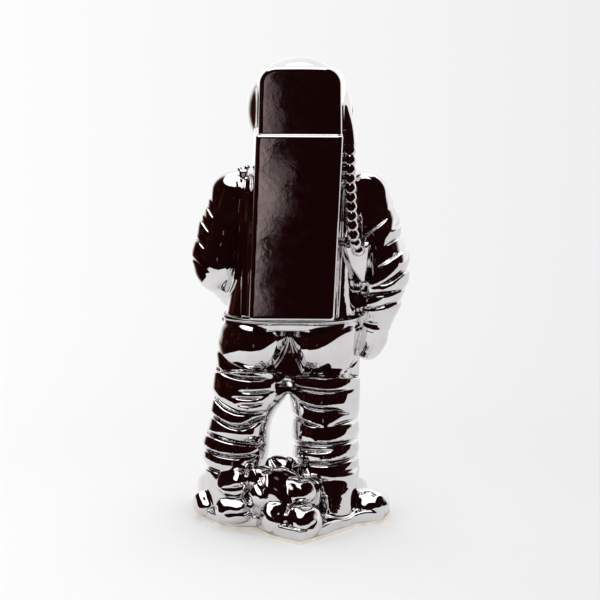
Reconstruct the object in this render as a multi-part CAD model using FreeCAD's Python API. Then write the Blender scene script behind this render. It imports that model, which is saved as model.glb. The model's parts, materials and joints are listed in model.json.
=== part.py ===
# Astronaut statuette, slip-cast ceramic with a mirror-chrome lustre glaze.
# The figure is assembled from separately cast pieces luted together before firing:
# hollow suit pieces, a closed helmet, a two-unit back pack, a ribbed breathing hose and
# a heap of moon rocks on a plate closed underneath by an unglazed slab.
# Frame: +Z up, the figure faces -Y, +X is the figure's left. Origin: centre of the
# resting face, on the surface that the statuette stands on. Units are millimetres.
import FreeCAD, Part
import os
import math

os.makedirs("parts", exist_ok=True)
V = FreeCAD.Vector

# ---------------------------------------------------------------- driving dimensions
WALL = 3.5            # cast wall
SLAB_T = 3.0          # unglazed closing slab
PLATE_TOP = 11.0      # top of the glazed base block
VENT_R = 4.0          # firing vent through the slab
HELMET_C = (0.8, -6.0, 331.0)
HELMET_R = 41.5
VISOR_R = 43.3
VISOR_HALF_W = 31.0
COVER_R = 7.0          # pivot covers at the sides of the helmet
COVER_FWD = 25.0       # degrees forward of the middle
VISOR_Z = (309.0, 352.0)
NECK_Z = (289.0, 298.0)
HEM_Z = (162.0, 169.5)
PELVIS_Z = (128.0, 162.0)
HOSE_R = 4.9          # over the ribs
HOSE_GROOVE = 1.2     # depth of the grooves between ribs
HOSE_PITCH = 7.3      # rib spacing
STRAP_W = 6.5
STRAP_T = 2.2

# Plan outline of the base plate, counter-clockwise, on the resting plane.
BASE = [(86.5, -8), (83.4, 4), (72, 21), (56.3, 38), (34, 40), (20.6, 58), (-3.4, 75.8),
        (-22.6, 56), (-46.2, 27), (-68.5, 14), (-74, -10), (-66, -38), (-42, -58),
        (-6, -64), (34, -63), (66, -58), (82, -38)]

# Suit sections: height, centre x, centre y, half width, half depth.
TORSO = [(PELVIS_Z[1], 6.0, 0, 54.0, 31.0), (185, 5.0, 0, 51.0, 32.0), (220, 3.0, 0, 50.0, 33.0),
         (250, 1.0, 0, 52.5, 33.0), (270, 0.0, 0, 52.0, 30.0), (283, 0.0, 0, 40.0, 25.0),
         (NECK_Z[0], 0.5, -2, 30.0, 23.0)]
PELVIS = [(PELVIS_Z[0], 9.5, 0, 58.5, 29.0), (140, 8.5, 0, 58.0, 30.5), (152, 7.2, 0, 56.5, 30.5),
          (PELVIS_Z[1], 6.5, 0, 54.5, 30.0)]
L_LEG = [(PELVIS_Z[0], 39.0, 0, 29.5, 28.0), (112, 40.5, 0, 29.5, 28.0), (98, 43.2, 0, 28.2, 27.0),
         (84, 47.0, 0, 25.5, 26.0), (72, 49.5, 0, 25.0, 26.0)]
R_LEG = [(PELVIS_Z[0], -20.2, 0, 28.6, 28.0), (112, -20.0, 0, 28.2, 28.0), (92, -20.4, 0, 26.8, 27.0),
         (66, -20.8, 0, 26.8, 26.5), (38, -21.5, 0, 26.0, 26.5)]
L_BOOT_LEG = [(72, 51.3, 0, 26.6, 26.5), (60, 51.6, 0, 26.9, 26.5), (46, 52.5, 0, 25.8, 25.5),
              (34, 53.5, 0, 23.5, 23.0)]
R_BOOT_LEG = [(38, -24.5, 0, 20.5, 22.0), (28, -25.5, 0, 20.0, 22.5), (22, -26.0, 0, 20.0, 22.5)]

# Arms: path points and radii at each.
L_ARM = [((51, 0, 264), 20.0), ((58.5, 1, 238), 21.0), ((63.8, 2, 216), 21.0)]
L_ELBOW_BALL = ((63.6, -1, 207.5), 20.8)
L_ELBOW = [((62, -6, 203), 18.5), ((53, -31, 183), 16.8)]
L_CUFF = [((53, -31, 183), 13.6), ((48.5, -39, 179), 13.8)]
L_HAND = [((48.5, -39, 179), 12.6), ((42.5, -49, 175), 14.2), ((36.5, -58, 171), 12.2), ((33, -63, 168.5), 6.0)]
R_ARM = [((-51.5, 0, 264), 20.0), ((-58, 1, 240), 20.6), ((-64.5, 1, 214), 20.8)]
R_ELBOW = [((-64.2, 1, 218), 20.2), ((-65.2, 0, 200), 20.0), ((-62.5, -2, 182), 17.2), ((-60.2, -4.4, 166), 14.6)]
R_CUFF = [((-60.6, -4.6, 166), 12.3), ((-59.0, -6, 158.0), 12.5)]
R_HAND = [((-59.0, -6, 158.0), 11.4), ((-57.4, -7, 149), 11.4), ((-54.5, -8, 140.5), 9.6), ((-53, -8.5, 135.5), 5.0)]

# Back pack: corners (x, z) of the rear face and of the front edge, top-left first.
PACK_Y = (22.0, 60.0)
PACK_REAR = [(30.2, 318.9), (-35.6, 319.0), (-29.3, 175.8), (36.2, 175.5)]
PACK_FRONT = [(34.5, 321.0), (-37.6, 321.0), (-35.3, 171.0), (41.0, 171.0)]
TOP_Y = (12.0, 56.0)
TOP_REAR = [(27.3, 370.2), (-33.9, 370.2), (-34.6, 321.0), (28.6, 321.0)]
TOP_FRONT = [(33.0, 366.0), (-35.8, 366.0), (-36.6, 321.0), (34.0, 321.0)]
TOP_CORNER = 12.0

# Moon rocks: name, centre, half sizes, seed of the facet pattern.
ROCKS = [
    ("rock_rear_tip", (-6, 56, 14), (15, 15, 15), 8),
    ("rock_rear_left", (17, 49, 16), (12.5, 14, 14.5), 7),
    ("rock_side_left", (50.5, 32.2, 15.8), (17.7, 13.2, 12.2), 16),
    ("rock_outer_left", (75, 3, 12), (12.5, 14, 12), 9),
    ("rock_outer_right", (-57, 3, 14), (16.5, 17, 13.5), 10),
    ("rock_upper_left", (51, 24, 36), (14.5, 14, 14), 3),
    ("rock_middle_left", (25.5, 38, 31), (14, 11, 12), 4),
    ("rock_middle_right", (-1, 36, 33), (15, 13, 12), 5),
    ("rock_step", (29, 29, 41), (12.5, 10, 11), 2),
    ("rock_peak", (14, 19, 46), (14.5, 12, 12.5), 1),
    ("rock_front_left", (24, -40, 15), (15, 12, 10), 11),
    ("rock_front_right", (2, -47, 12), (12, 10, 8), 12),
]
ROCK_CORE = ("rock_core", (13, 20, 24), (30, 30, 26), 13)


# ---------------------------------------------------------------- helpers
def unit(v):
    return V(v).multiply(1.0 / v.Length)


def ring(c, u, v, ru, rv, p=2.0, n=12):
    pts = []
    for i in range(n):
        a = 2 * math.pi * i / n
        ca, sa = math.cos(a), math.sin(a)
        x = ru * math.copysign(abs(ca) ** (2.0 / p), ca)
        y = rv * math.copysign(abs(sa) ** (2.0 / p), sa)
        pts.append(V(c) + V(u) * x + V(v) * y)
    bs = Part.BSplineCurve()
    bs.interpolate(pts, PeriodicFlag=True)
    return Part.Wire([bs.toShape()])


def loft(wires, ruled=False):
    s = Part.makeLoft(wires, True, ruled)
    if s.Volume < 0:
        s.reverse()
    return s


def stack(sections, grow=0.0, p=2.0, ends=0.0):
    """Horizontal sections lofted into one solid; grow offsets them, ends lengthens it."""
    rows = list(sections)
    wires = []
    zs = [r[0] for r in rows]
    for k, (z, cx, cy, rx, ry) in enumerate(rows):
        dz = 0.0
        if ends and z == max(zs):
            dz = ends
        if ends and z == min(zs):
            dz = -ends
        wires.append(ring(V(cx, cy, z + dz), V(1, 0, 0), V(0, 1, 0), rx + grow, ry + grow, p))
    return loft(wires)


def limb(path, grow=0.0, ends=(0.0, 0.0)):
    """Round sections square to a path of (point, radius)."""
    pts = [V(*p) for p, r in path]
    wires = []
    for k, (p, r) in enumerate(path):
        a = pts[max(k - 1, 0)]
        b = pts[min(k + 1, len(pts) - 1)]
        d = unit(b - a)
        c = V(pts[k])
        if k == 0:
            c = c - d * ends[0]
        if k == len(pts) - 1:
            c = c + d * ends[1]
        side = unit(d.cross(V(0, 1, 0.15)))
        up = unit(side.cross(d))
        wires.append(ring(c, side, up, r + grow, r + grow, n=10))
    return loft(wires)


def frustum(front, rear, y0, y1, grow=0.0):
    """Drafted box between a front quad at y0 and a rear quad at y1, both as (x, z)."""
    wires = []
    for quad, y in ((front, y0), (rear, y1)):
        cx = sum(q[0] for q in quad) / 4
        cz = sum(q[1] for q in quad) / 4
        pts = [V(x + (grow if x > cx else -grow), y, z + (grow if z > cz else -grow)) for x, z in quad]
        wires.append(Part.makePolygon(pts + [pts[0]]))
    return loft(wires, True)


def half_space(point, normal, size=400.0):
    """Solid block on the outer side of a plane."""
    b = Part.makeBox(size, size, size, V(-size / 2, -size / 2, 0))
    b.Placement = FreeCAD.Placement(V(*point), FreeCAD.Rotation(V(0, 0, 1), V(*normal)))
    return b


def facets(seed, n=11):
    """Facet directions spread over a sphere, jittered by a small generator, with depths."""
    s = (seed * 7919 + 12345) % 2147483647
    out = []
    for i in range(n):
        vals = []
        for _ in range(3):
            s = (s * 16807) % 2147483647
            vals.append(s / 2147483647.0)
        z = 1 - 2 * (i + 0.5) / n
        a = i * 2.399963 + seed * 1.7 + (vals[0] - 0.5) * 1.1
        z = max(-1.0, min(1.0, z + (vals[1] - 0.5) * 0.25))
        r = math.sqrt(max(0.0, 1 - z * z))
        out.append(((r * math.cos(a), r * math.sin(a), z), 0.74 + 0.22 * vals[2]))
    return out


def rock(c, half, seed):
    """Convex faceted lump: an ellipsoid's bounding block trimmed by planes."""
    b = Part.makeBox(2 * half[0], 2 * half[1], 2 * half[2], V(c[0] - half[0], c[1] - half[1], c[2] - half[2]))
    for n, d in facets(seed):
        # plane of the scaled sphere: normal scales with 1/half, point with half
        q = V(n[0] * half[0] * d, n[1] * half[1] * d, n[2] * half[2] * d) + V(*c)
        m = unit(V(n[0] / half[0], n[1] / half[1], n[2] / half[2]))
        b = b.cut(half_space((q.x, q.y, q.z), (m.x, m.y, m.z)))
    return b


def largest(shape):
    sol = sorted(shape.Solids, key=lambda s: -s.Volume)
    return sol[0]


def prism(outline, z0, z1, inset0=0.0, inset1=0.0):
    cx = sum(p[0] for p in outline) / len(outline)
    cy = sum(p[1] for p in outline) / len(outline)

    def wire(z, inset):
        pts = []
        for x, y in outline:
            l = math.hypot(x - cx, y - cy)
            pts.append(V(x - (x - cx) / l * inset, y - (y - cy) / l * inset, z))
        return Part.makePolygon(pts + [pts[0]])
    return loft([wire(z0, inset0), wire(z1, inset1)], True)


NODES = {}
OUTER = {}


def keep(name, shape, outer=None):
    s = largest(shape) if shape.ShapeType != "Solid" and len(shape.Solids) == 1 else shape
    NODES[name] = s
    OUTER[name] = outer if outer is not None else s


# ---------------------------------------------------------------- base
slab = prism(BASE, 0.0, SLAB_T, 1.6, 0.8)
slab = slab.cut(Part.makeCylinder(VENT_R, SLAB_T + 2, V(10, 0, -1)))
keep("base_slab", slab)
plate_outer = prism(BASE, SLAB_T, PLATE_TOP, 0.0, 3.0)
plate = plate_outer.cut(prism(BASE, SLAB_T - 1, PLATE_TOP - WALL, 4.5, 7.0))
keep("rock_plate", plate, plate_outer)
ground = Part.makeBox(400, 400, 200, V(-200, -200, PLATE_TOP - 200))

# ---------------------------------------------------------------- legs and boots
l_leg_o = stack(L_LEG)
r_leg_o = stack(R_LEG)
split = Part.makeBox(200, 200, 200, V(9.2, -100, 0))      # side of the left leg
l_leg_o = l_leg_o.common(split)
r_leg_o = r_leg_o.cut(split)
keep("left_trouser_leg", l_leg_o.cut(stack(L_LEG, -WALL, ends=1.0)), l_leg_o)
keep("right_trouser_leg", r_leg_o.cut(stack(R_LEG, -WALL, ends=1.0)), r_leg_o)


def boot(leg_rows, heel, toe, width, height, name):
    """Overshoe: ankle loft on a rounded foot block that stands on the plate."""
    ankle = stack(leg_rows)
    hx, hy = heel
    tx, ty = toe
    d = unit(V(tx - hx, ty - hy, 0))
    s = V(-d.y, d.x, 0)
    L = math.hypot(tx - hx, ty - hy)
    rows = [(0.0, width * 0.30, height * 0.62), (0.10, width * 0.44, height * 0.95), (0.35, width * 0.47, height),
            (0.70, width * 0.50, height * 0.80), (0.92, width * 0.42, height * 0.62), (1.0, width * 0.28, height * 0.45)]
    wires = []
    for t, hw, h in rows:
        c = V(hx, hy, PLATE_TOP + h / 2.0) + d * (L * t)
        wires.append(ring(c, s, V(0, 0, 1), hw, h / 2.0, 3.0, 12))
    foot = loft(wires)
    body = foot.fuse(ankle).cut(ground)
    return body


l_boot = boot(L_BOOT_LEG, (47, 22), (70, -46), 40.0, 31.0, "left_boot")
r_boot = boot(R_BOOT_LEG, (-24, 27), (-37, -46), 38.0, 27.0, "right_boot")
l_boot = l_boot.cut(l_leg_o)
r_boot = r_boot.cut(r_leg_o)
l_hollow = stack(L_BOOT_LEG, -WALL, ends=1.0)
r_hollow = stack(R_BOOT_LEG, -WALL, ends=1.0)
keep("left_boot", l_boot.cut(l_hollow), l_boot)
keep("right_boot", r_boot.cut(r_hollow), r_boot)

# ---------------------------------------------------------------- pelvis and jacket
pelvis_o = stack(PELVIS, p=2.3)
keep("pelvis", pelvis_o.cut(stack(PELVIS, -WALL, p=2.3, ends=1.0)), pelvis_o)
torso_o = stack(TORSO, p=2.3)
torso = torso_o.cut(stack(TORSO, -WALL, p=2.3, ends=1.0))
hem_zone = Part.makeBox(300, 300, HEM_Z[1] - HEM_Z[0], V(-150, -150, HEM_Z[0]))
HEM = [(HEM_Z[0], 6.2, 0, 57.0, 33.6), (HEM_Z[1], 5.8, 0, 56.2, 34.2)]
hem_o = stack(HEM, p=2.3)
keep("jacket_hem", hem_o.cut(torso_o), hem_o)
keep("torso", torso, torso_o)

# ---------------------------------------------------------------- arms
for side, arm, elbow, cuff, hand in (("left", L_ARM, L_ELBOW, L_CUFF, L_HAND), ("right", R_ARM, R_ELBOW, R_CUFF, R_HAND)):
    a_o = limb(arm)
    # rounded shoulder cap on the upper end of the sleeve
    a_o = a_o.fuse(Part.makeSphere(arm[0][1] + 0.9, V(arm[0][0][0] * 0.99, 0, arm[0][0][2] - 1.5)))
    e_o = limb(elbow)
    e_in = limb(elbow, -WALL, (1.0, 1.0))
    if side == "left":
        # bent elbow: a ball between the upper sleeve and the forearm
        bc, br = L_ELBOW_BALL
        e_o = e_o.fuse(Part.makeSphere(br, V(*bc)))
        e_in = e_in.fuse(Part.makeSphere(br - WALL, V(*bc)))
    c_o = limb(cuff)
    h_o = limb(hand)
    a_in = limb(arm, -WALL, (1.0, 1.0))
    c_in = limb(cuff, -WALL, (1.0, 1.0))
    body = [torso_o, hem_o, pelvis_o]
    a_s = a_o.cut(a_in)
    e_s = e_o.cut(e_in).cut(a_o)
    c_s = c_o.cut(e_o).cut(c_in)
    h_s = h_o.cut(e_o).cut(c_o)
    for b in body:
        a_s = a_s.cut(b)
        e_s = e_s.cut(b)
        c_s = c_s.cut(b)
        h_s = h_s.cut(b)
    if side == "right":
        h_s = h_s.cut(r_leg_o)
    # thumb, pressed on to the mitten
    if side == "left":
        thumb = limb([((47, -45, 188), 4.6), ((41, -54, 187), 4.8), ((36.5, -60, 184), 3.0)])
    else:
        thumb = limb([((-50, -16, 155), 4.4), ((-47, -21, 147), 4.6), ((-46, -23, 141), 2.8)])
    h_s = h_s.fuse(thumb.cut(torso_o).cut(e_o).cut(c_o).cut(pelvis_o))
    keep(side + "_upper_sleeve", largest(a_s), a_o)
    keep(side + "_forearm_sleeve", largest(e_s), e_o)
    keep(side + "_cuff", largest(c_s), c_o)
    keep(side + "_glove", largest(h_s), h_o)

# ---------------------------------------------------------------- neck and helmet
hc = V(*HELMET_C)
sphere = Part.makeSphere(HELMET_R, hc)
below_neck = Part.makeBox(300, 300, 300, V(-150, -150, NECK_Z[1] - 300))
neck_o = Part.makeCylinder(27.5, NECK_Z[1] - NECK_Z[0], V(hc.x, hc.y + 2, NECK_Z[0]))
neck_i = Part.makeCylinder(27.5 - WALL - 1.5, NECK_Z[1] - NECK_Z[0] + 2, V(hc.x, hc.y + 2, NECK_Z[0] - 1))
keep("neck_ring", neck_o.cut(neck_i), neck_o)
helmet_o = sphere.cut(below_neck)
helmet = helmet_o.cut(Part.makeSphere(HELMET_R - WALL, hc))
# window: a rounded opening in the front of the globe
zc = (VISOR_Z[0] + VISOR_Z[1]) / 2
zh = (VISOR_Z[1] - VISOR_Z[0]) / 2


def window(grow):
    b = Part.makeBox(2 * (VISOR_HALF_W + grow), 52, 2 * (zh + grow),
                     V(hc.x - VISOR_HALF_W - grow, hc.y - 60, zc - zh - grow))
    return b.makeFillet(15.0, [e for e in b.Edges if e.BoundBox.YLength > 50])


helmet = helmet.cut(window(0.0))
visor = Part.makeSphere(VISOR_R, hc).cut(Part.makeSphere(HELMET_R - WALL, hc)).common(window(-0.05))
keep("helmet_shell", helmet, helmet_o)
keep("visor", visor)
for side, sx in (("left", 1), ("right", -1)):
    # low round pivot cover, set forward of the middle of the globe and square to it
    out = V(sx * math.cos(math.radians(COVER_FWD)), -math.sin(math.radians(COVER_FWD)), 0)
    foot = hc + out * (HELMET_R - 3.0) + V(0, 0, -2)
    disc = Part.makeCylinder(COVER_R, 4.8, foot, out)
    disc = disc.makeChamfer(0.8, [e for e in disc.Edges if (e.CenterOfMass - foot).dot(out) > 4.7])
    keep("helmet_cover_" + side, largest(disc.cut(sphere)))

# ---------------------------------------------------------------- back pack
pack_o = frustum(PACK_FRONT, PACK_REAR, PACK_Y[0], PACK_Y[1])
rear_edges = [e for e in pack_o.Edges if e.BoundBox.YMax > PACK_Y[1] - 0.5]
pack_o = pack_o.makeFillet(2.6, rear_edges)
pack_i = frustum(PACK_FRONT, PACK_REAR, PACK_Y[0], PACK_Y[1], -WALL)
pack_i = pack_i.cut(Part.makeBox(300, 20, 400, V(-150, PACK_Y[1] - WALL, 0)))
pack_i = pack_i.fuse(Part.makeBox(60, 4, 130, V(-30, PACK_Y[0] - 2, 182)))
pack = pack_o.cut(pack_i)
for b in (torso_o, hem_o, sphere, neck_o):
    pack = pack.cut(b)
for n in ("left_upper_sleeve", "right_upper_sleeve", "left_forearm_sleeve", "right_forearm_sleeve"):
    pack = pack.cut(OUTER[n])
pack = largest(pack)
top_o = frustum(TOP_FRONT, TOP_REAR, TOP_Y[0], TOP_Y[1])
long_edges = [e for e in top_o.Edges if abs(e.BoundBox.YLength) > 30 and e.BoundBox.ZMax > 360]
top_o = top_o.makeFillet(TOP_CORNER, long_edges)
top_edges = [e for e in top_o.Edges if e.BoundBox.YMin > TOP_Y[1] - 0.5]
top_o = top_o.makeFillet(2.6, top_edges)
top_i = frustum(TOP_FRONT, TOP_REAR, TOP_Y[0] - 0.5, TOP_Y[1], -WALL)
long_in = [e for e in top_i.Edges if abs(e.BoundBox.YLength) > 30 and e.BoundBox.ZMax > 355]
top_i = top_i.makeFillet(TOP_CORNER - WALL, long_in)
top_i = top_i.cut(Part.makeBox(300, 20, 400, V(-150, TOP_Y[1] - WALL, 0)))
top = top_o.cut(top_i).cut(sphere).cut(pack_o)
top = largest(top)
keep("backpack_lower", pack, pack_o)
keep("backpack_upper", top, top_o)

# ---------------------------------------------------------------- breathing hose
def hose(path, r, groove, pitch, smooth_to=0.0):
    """Ribbed tube: ruled rings of alternating radius along a smooth curve."""
    crv = Part.BSplineCurve()
    crv.interpolate([V(*p) for p in path])
    L = crv.length()
    n = max(2, int(round(L / pitch)))
    stations = [(0.0, r - groove)]
    for i in range(n):
        s = L * i / n
        for f, rr in ((0.12, r - groove), (0.32, r), (0.68, r), (0.88, r - groove)):
            stations.append((s + f * L / n, rr if s + f * L / n > smooth_to else r - groove * 0.5))
    stations.append((L, r - groove))
    wires = []
    for s, rr in stations:
        t = crv.parameterAtDistance(s, crv.FirstParameter)
        p = crv.value(t)
        d = unit(crv.tangent(t)[0])
        c = Part.Circle(p, d, rr)
        wires.append(Part.Wire([c.toShape()]))
    return loft(wires, True)


HOSE_PATH = [(-34.5, 25, 336), (-38.3, 29.5, 322), (-40.0, 33, 304), (-40.4, 34.5, 280), (-41.6, 35.5, 256),
             (-43.2, 35, 238), (-47.0, 29.5, 226)]
h = hose(HOSE_PATH, HOSE_R, HOSE_GROOVE, HOSE_PITCH)
for b in (torso_o, sphere, pack_o, top_o, OUTER["right_upper_sleeve"]):
    h = h.cut(b)
keep("breathing_hose", largest(h))

# ---------------------------------------------------------------- straps and chest set
torso_skin = stack(TORSO, STRAP_T, p=2.3).cut(torso_o)


def strap(x0, x1, y0, y1, z0, z1, shear=0.0):
    pts = [V(x0, y0, z0), V(x1, y0, z0), V(x1 + shear, y0, z1), V(x0 + shear, y0, z1)]
    f = Part.Face(Part.makePolygon(pts + [pts[0]]))
    return f.extrude(V(0, y1 - y0, 0))


arms_cut = [OUTER[n] for n in ("left_upper_sleeve", "right_upper_sleeve", "left_forearm_sleeve")] + [pack_o, hem_o, neck_o, sphere]
sb = torso_skin.common(strap(39.0, 39.0 + STRAP_W, 5, 60, 171, 280, -2.0))
for b in arms_cut:
    sb = sb.cut(b)
keep("back_strap", largest(sb))
for side, sx in (("left", 1), ("right", -1)):
    x0 = 27.0 if sx > 0 else -27.0 - STRAP_W - 1.5
    fs = torso_skin.common(strap(x0, x0 + STRAP_W + 1.5, -60, 0, 200, 292))
    for b in arms_cut:
        fs = fs.cut(b)
    keep("harness_strap_" + side, largest(fs))
buckle = Part.makeBox(11, 9, 9, V(38.5, 3, 278.5))
buckle = buckle.makeFillet(1.6, buckle.Edges)
for b in (torso_o, OUTER["left_upper_sleeve"], NODES["back_strap"], NODES["harness_strap_left"]):
    buckle = buckle.cut(b)
keep("shoulder_buckle", largest(buckle))

box = Part.makeBox(50, 22, 32, V(-22, -50, 222))
box = box.makeFillet(3.0, [e for e in box.Edges if e.BoundBox.YMin < -49])
for b in (torso_o, NODES["harness_strap_left"], NODES["harness_strap_right"]):
    box = box.cut(b)
box_i = Part.makeBox(42, 22, 24, V(-18, -46, 226))
keep("chest_control_box", largest(box.cut(box_i)), box)
fit = []
for x, z in ((20, 206), (-15, 206), (22, 188), (-17, 188)):
    c = Part.makeCylinder(5.2, 16, V(x, -38.5, z), V(0, 1, 0))
    c = c.makeChamfer(1.2, [e for e in c.Edges if e.BoundBox.YMax < -38])
    c = c.cut(torso_o).cut(box).cut(OUTER["left_glove"]).cut(OUTER["left_forearm_sleeve"])
    fit.append(largest(c))
keep("hose_connectors", Part.makeCompound(fit))

# ---------------------------------------------------------------- rocks
placed = [NODES["rock_plate"], l_boot, r_boot, l_leg_o, r_leg_o]

def put_rock(name, c, half, seed):
    s = rock(c, half, seed)
    raw = s
    # a rock that reaches past the plate's edge stops level with the top of the slab
    s = s.cut(Part.makeBox(400, 400, 400, V(-200, -200, SLAB_T - 400)))
    for b in placed:
        s = s.cut(b)
    s = largest(s)
    placed.append(raw)
    keep(name, s)


for nm, c, half, seed in ROCKS:
    put_rock(nm, c, half, seed)
nm, c, half, seed = ROCK_CORE
put_rock(nm, c, half, seed)

# ---------------------------------------------------------------- write
if __name__ == "__main__":
    total = 0.0
    for name, s in NODES.items():
        ok = s.isValid()
        bb = s.BoundBox
        total += s.Volume
        print("%-24s solids %d valid %s vol %9.0f  x %6.1f %6.1f  y %6.1f %6.1f  z %6.1f %6.1f" % (
            name, len(s.Solids), ok, s.Volume, bb.XMin, bb.XMax, bb.YMin, bb.YMax, bb.ZMin, bb.ZMax))
        s.exportStep("parts/" + name + ".step")
    print("nodes", len(NODES), "mass kg at 2.3 g/cc: %.2f" % (total * 2.3e-6))
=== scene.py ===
import bpy
import json
import math
import time
import numpy as np
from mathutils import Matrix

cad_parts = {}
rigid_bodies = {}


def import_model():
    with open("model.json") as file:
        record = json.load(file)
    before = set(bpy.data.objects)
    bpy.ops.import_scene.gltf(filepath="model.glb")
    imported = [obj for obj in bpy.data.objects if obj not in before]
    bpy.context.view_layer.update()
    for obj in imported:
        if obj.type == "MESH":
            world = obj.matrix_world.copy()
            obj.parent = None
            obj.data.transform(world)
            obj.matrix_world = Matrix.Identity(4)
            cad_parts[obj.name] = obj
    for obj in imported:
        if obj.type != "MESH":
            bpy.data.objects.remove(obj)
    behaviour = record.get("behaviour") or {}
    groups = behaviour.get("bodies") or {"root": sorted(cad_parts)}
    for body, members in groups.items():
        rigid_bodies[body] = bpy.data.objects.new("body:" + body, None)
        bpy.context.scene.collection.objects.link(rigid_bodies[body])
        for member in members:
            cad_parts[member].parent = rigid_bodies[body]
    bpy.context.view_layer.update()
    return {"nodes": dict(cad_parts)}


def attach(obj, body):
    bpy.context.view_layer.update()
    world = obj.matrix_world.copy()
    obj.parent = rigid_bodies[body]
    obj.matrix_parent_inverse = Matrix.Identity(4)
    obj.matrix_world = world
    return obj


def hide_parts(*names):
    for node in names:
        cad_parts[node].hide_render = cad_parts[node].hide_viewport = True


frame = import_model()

T0 = time.time()

# ------------------------------------------------------------------------------------------
# The visible skin of the statuette is one glazed surface. It is built here as a distance
# field in millimetres, piece by piece, with glaze fillets where the pieces are luted, then
# meshed, split along the joint lines of the pieces, and closed as thin cast shells.
# ------------------------------------------------------------------------------------------
H = 0.85        # cell size, mm


def smin(a, b, k):
    h = np.maximum(k - np.abs(a - b), 0.0) / k
    return np.minimum(a, b) - h * h * (k * 0.25)


def smax(a, b, k):
    return -smin(-a, -b, k)


def ss(a, b, x):
    t = np.clip((x - a) / (b - a), 0.0, 1.0)
    return t * t * (3 - 2 * t)


class Rows:
    """Stacked oval sections: height, centre x, centre y, half width, half depth."""

    def __init__(self, rows, p=2.0, sigma=4.0):
        rows = sorted(rows)
        a = np.array(rows, float)
        self.z = np.arange(a[0, 0] - 30, a[-1, 0] + 30, 0.5)
        self.t = [np.interp(self.z, a[:, 0], a[:, i]) for i in range(1, 5)]
        if sigma:
            n = int(3 * sigma / 0.5)
            g = np.exp(-0.5 * (np.arange(-n, n + 1) * 0.5 / sigma) ** 2)
            g /= g.sum()
            self.t = [np.convolve(np.pad(v, n, mode="edge"), g, mode="valid") for v in self.t]
        self.p = p

    def at(self, Z):
        return [np.interp(Z, self.z, v) for v in self.t]

    def f(self, X, Y, Z):
        cx, cy, rx, ry = self.at(Z)
        p = self.p
        u = np.abs(X - cx) / rx
        v = np.abs(Y - cy) / ry
        q = (u ** p + v ** p + 1e-9) ** (1.0 / p)
        gx = (u / q) ** (p - 1) / rx
        gy = (v / q) ** (p - 1) / ry
        g = np.sqrt(gx * gx + gy * gy) + 1e-6
        return (q - 1.0) / g

    def ang(self, X, Y, Z):
        cx, cy, rx, ry = self.at(Z)
        return np.arctan2((Y - cy) / ry, (X - cx) / rx)


def wrap(a):
    return (a + math.pi) % (2 * math.pi) - math.pi


def crease(s, u, uw, depth, w=3.6, e=0.9, side=None):
    """A pinched fold: s is the distance across it, u the place along it, uw its half length."""
    win = np.clip(1.0 - (u / uw) ** 2, 0.0, 1.0)
    win = win * win * (3 - 2 * win) if side is None else win ** side
    return depth * win * np.exp(-(np.sqrt(s * s + e * e) - e) / w)


def seg(X, Y, Z, a, b):
    """Distance to a segment, and the place along it, 0 to 1."""
    ax, ay, az = a
    dx, dy, dz = b[0] - ax, b[1] - ay, b[2] - az
    L2 = dx * dx + dy * dy + dz * dz
    t = np.clip(((X - ax) * dx + (Y - ay) * dy + (Z - az) * dz) / L2, 0.0, 1.0)
    d = np.sqrt((X - ax - t * dx) ** 2 + (Y - ay - t * dy) ** 2 + (Z - az - t * dz) ** 2)
    return d, t


def chain(X, Y, Z, path, k=4.0, sy=None):
    out = None
    for (a, ra), (b, rb) in zip(path[:-1], path[1:]):
        d, t = seg(X, Y, Z, a, b)
        t = t * t * (3 - 2 * t)
        f = d - (ra + t * (rb - ra))
        out = f if out is None else smin(out, f, k)
    return out


def ball(X, Y, Z, c, r):
    return np.sqrt((X - c[0]) ** 2 + (Y - c[1]) ** 2 + (Z - c[2]) ** 2) - r


def ellipsoid(X, Y, Z, c, r):
    u, v, w = (X - c[0]) / r[0], (Y - c[1]) / r[1], (Z - c[2]) / r[2]
    q = np.sqrt(u * u + v * v + w * w) + 1e-6
    g = np.sqrt((u / r[0]) ** 2 + (v / r[1]) ** 2 + (w / r[2]) ** 2) / q + 1e-6
    return (q - 1.0) / g


def planes(X, Y, Z, pl, k):
    """Convex body of planes (nx, ny, nz, d): n.p <= d, with edges rounded by k."""
    out = None
    for nx, ny, nz, d in pl:
        f = nx * X + ny * Y + nz * Z - d
        out = f if out is None else smax(out, f, k)
    return out


def plane3(a, b, c, inside):
    a, b, c = (np.array(q, float) for q in (a, b, c))
    n = np.cross(b - a, c - a)
    n /= np.linalg.norm(n)
    d = float(n @ a)
    if n @ np.array(inside, float) > d:
        n, d = -n, -d
    return (float(n[0]), float(n[1]), float(n[2]), d)


def frustum_planes(front, rear, y0, y1, shift=0.0):
    f = [(x, y0, z) for x, z in front]
    r = [(x, y1, z) for x, z in rear]
    c = tuple(np.mean(np.array(f + r), axis=0))
    out = [plane3(r[0], r[1], r[2], c)]
    for i in range(4):
        j = (i + 1) % 4
        out.append(plane3(r[i], r[j], f[i], c))
    out.append((0.0, -1.0, 0.0, -y0))
    return out


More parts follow.
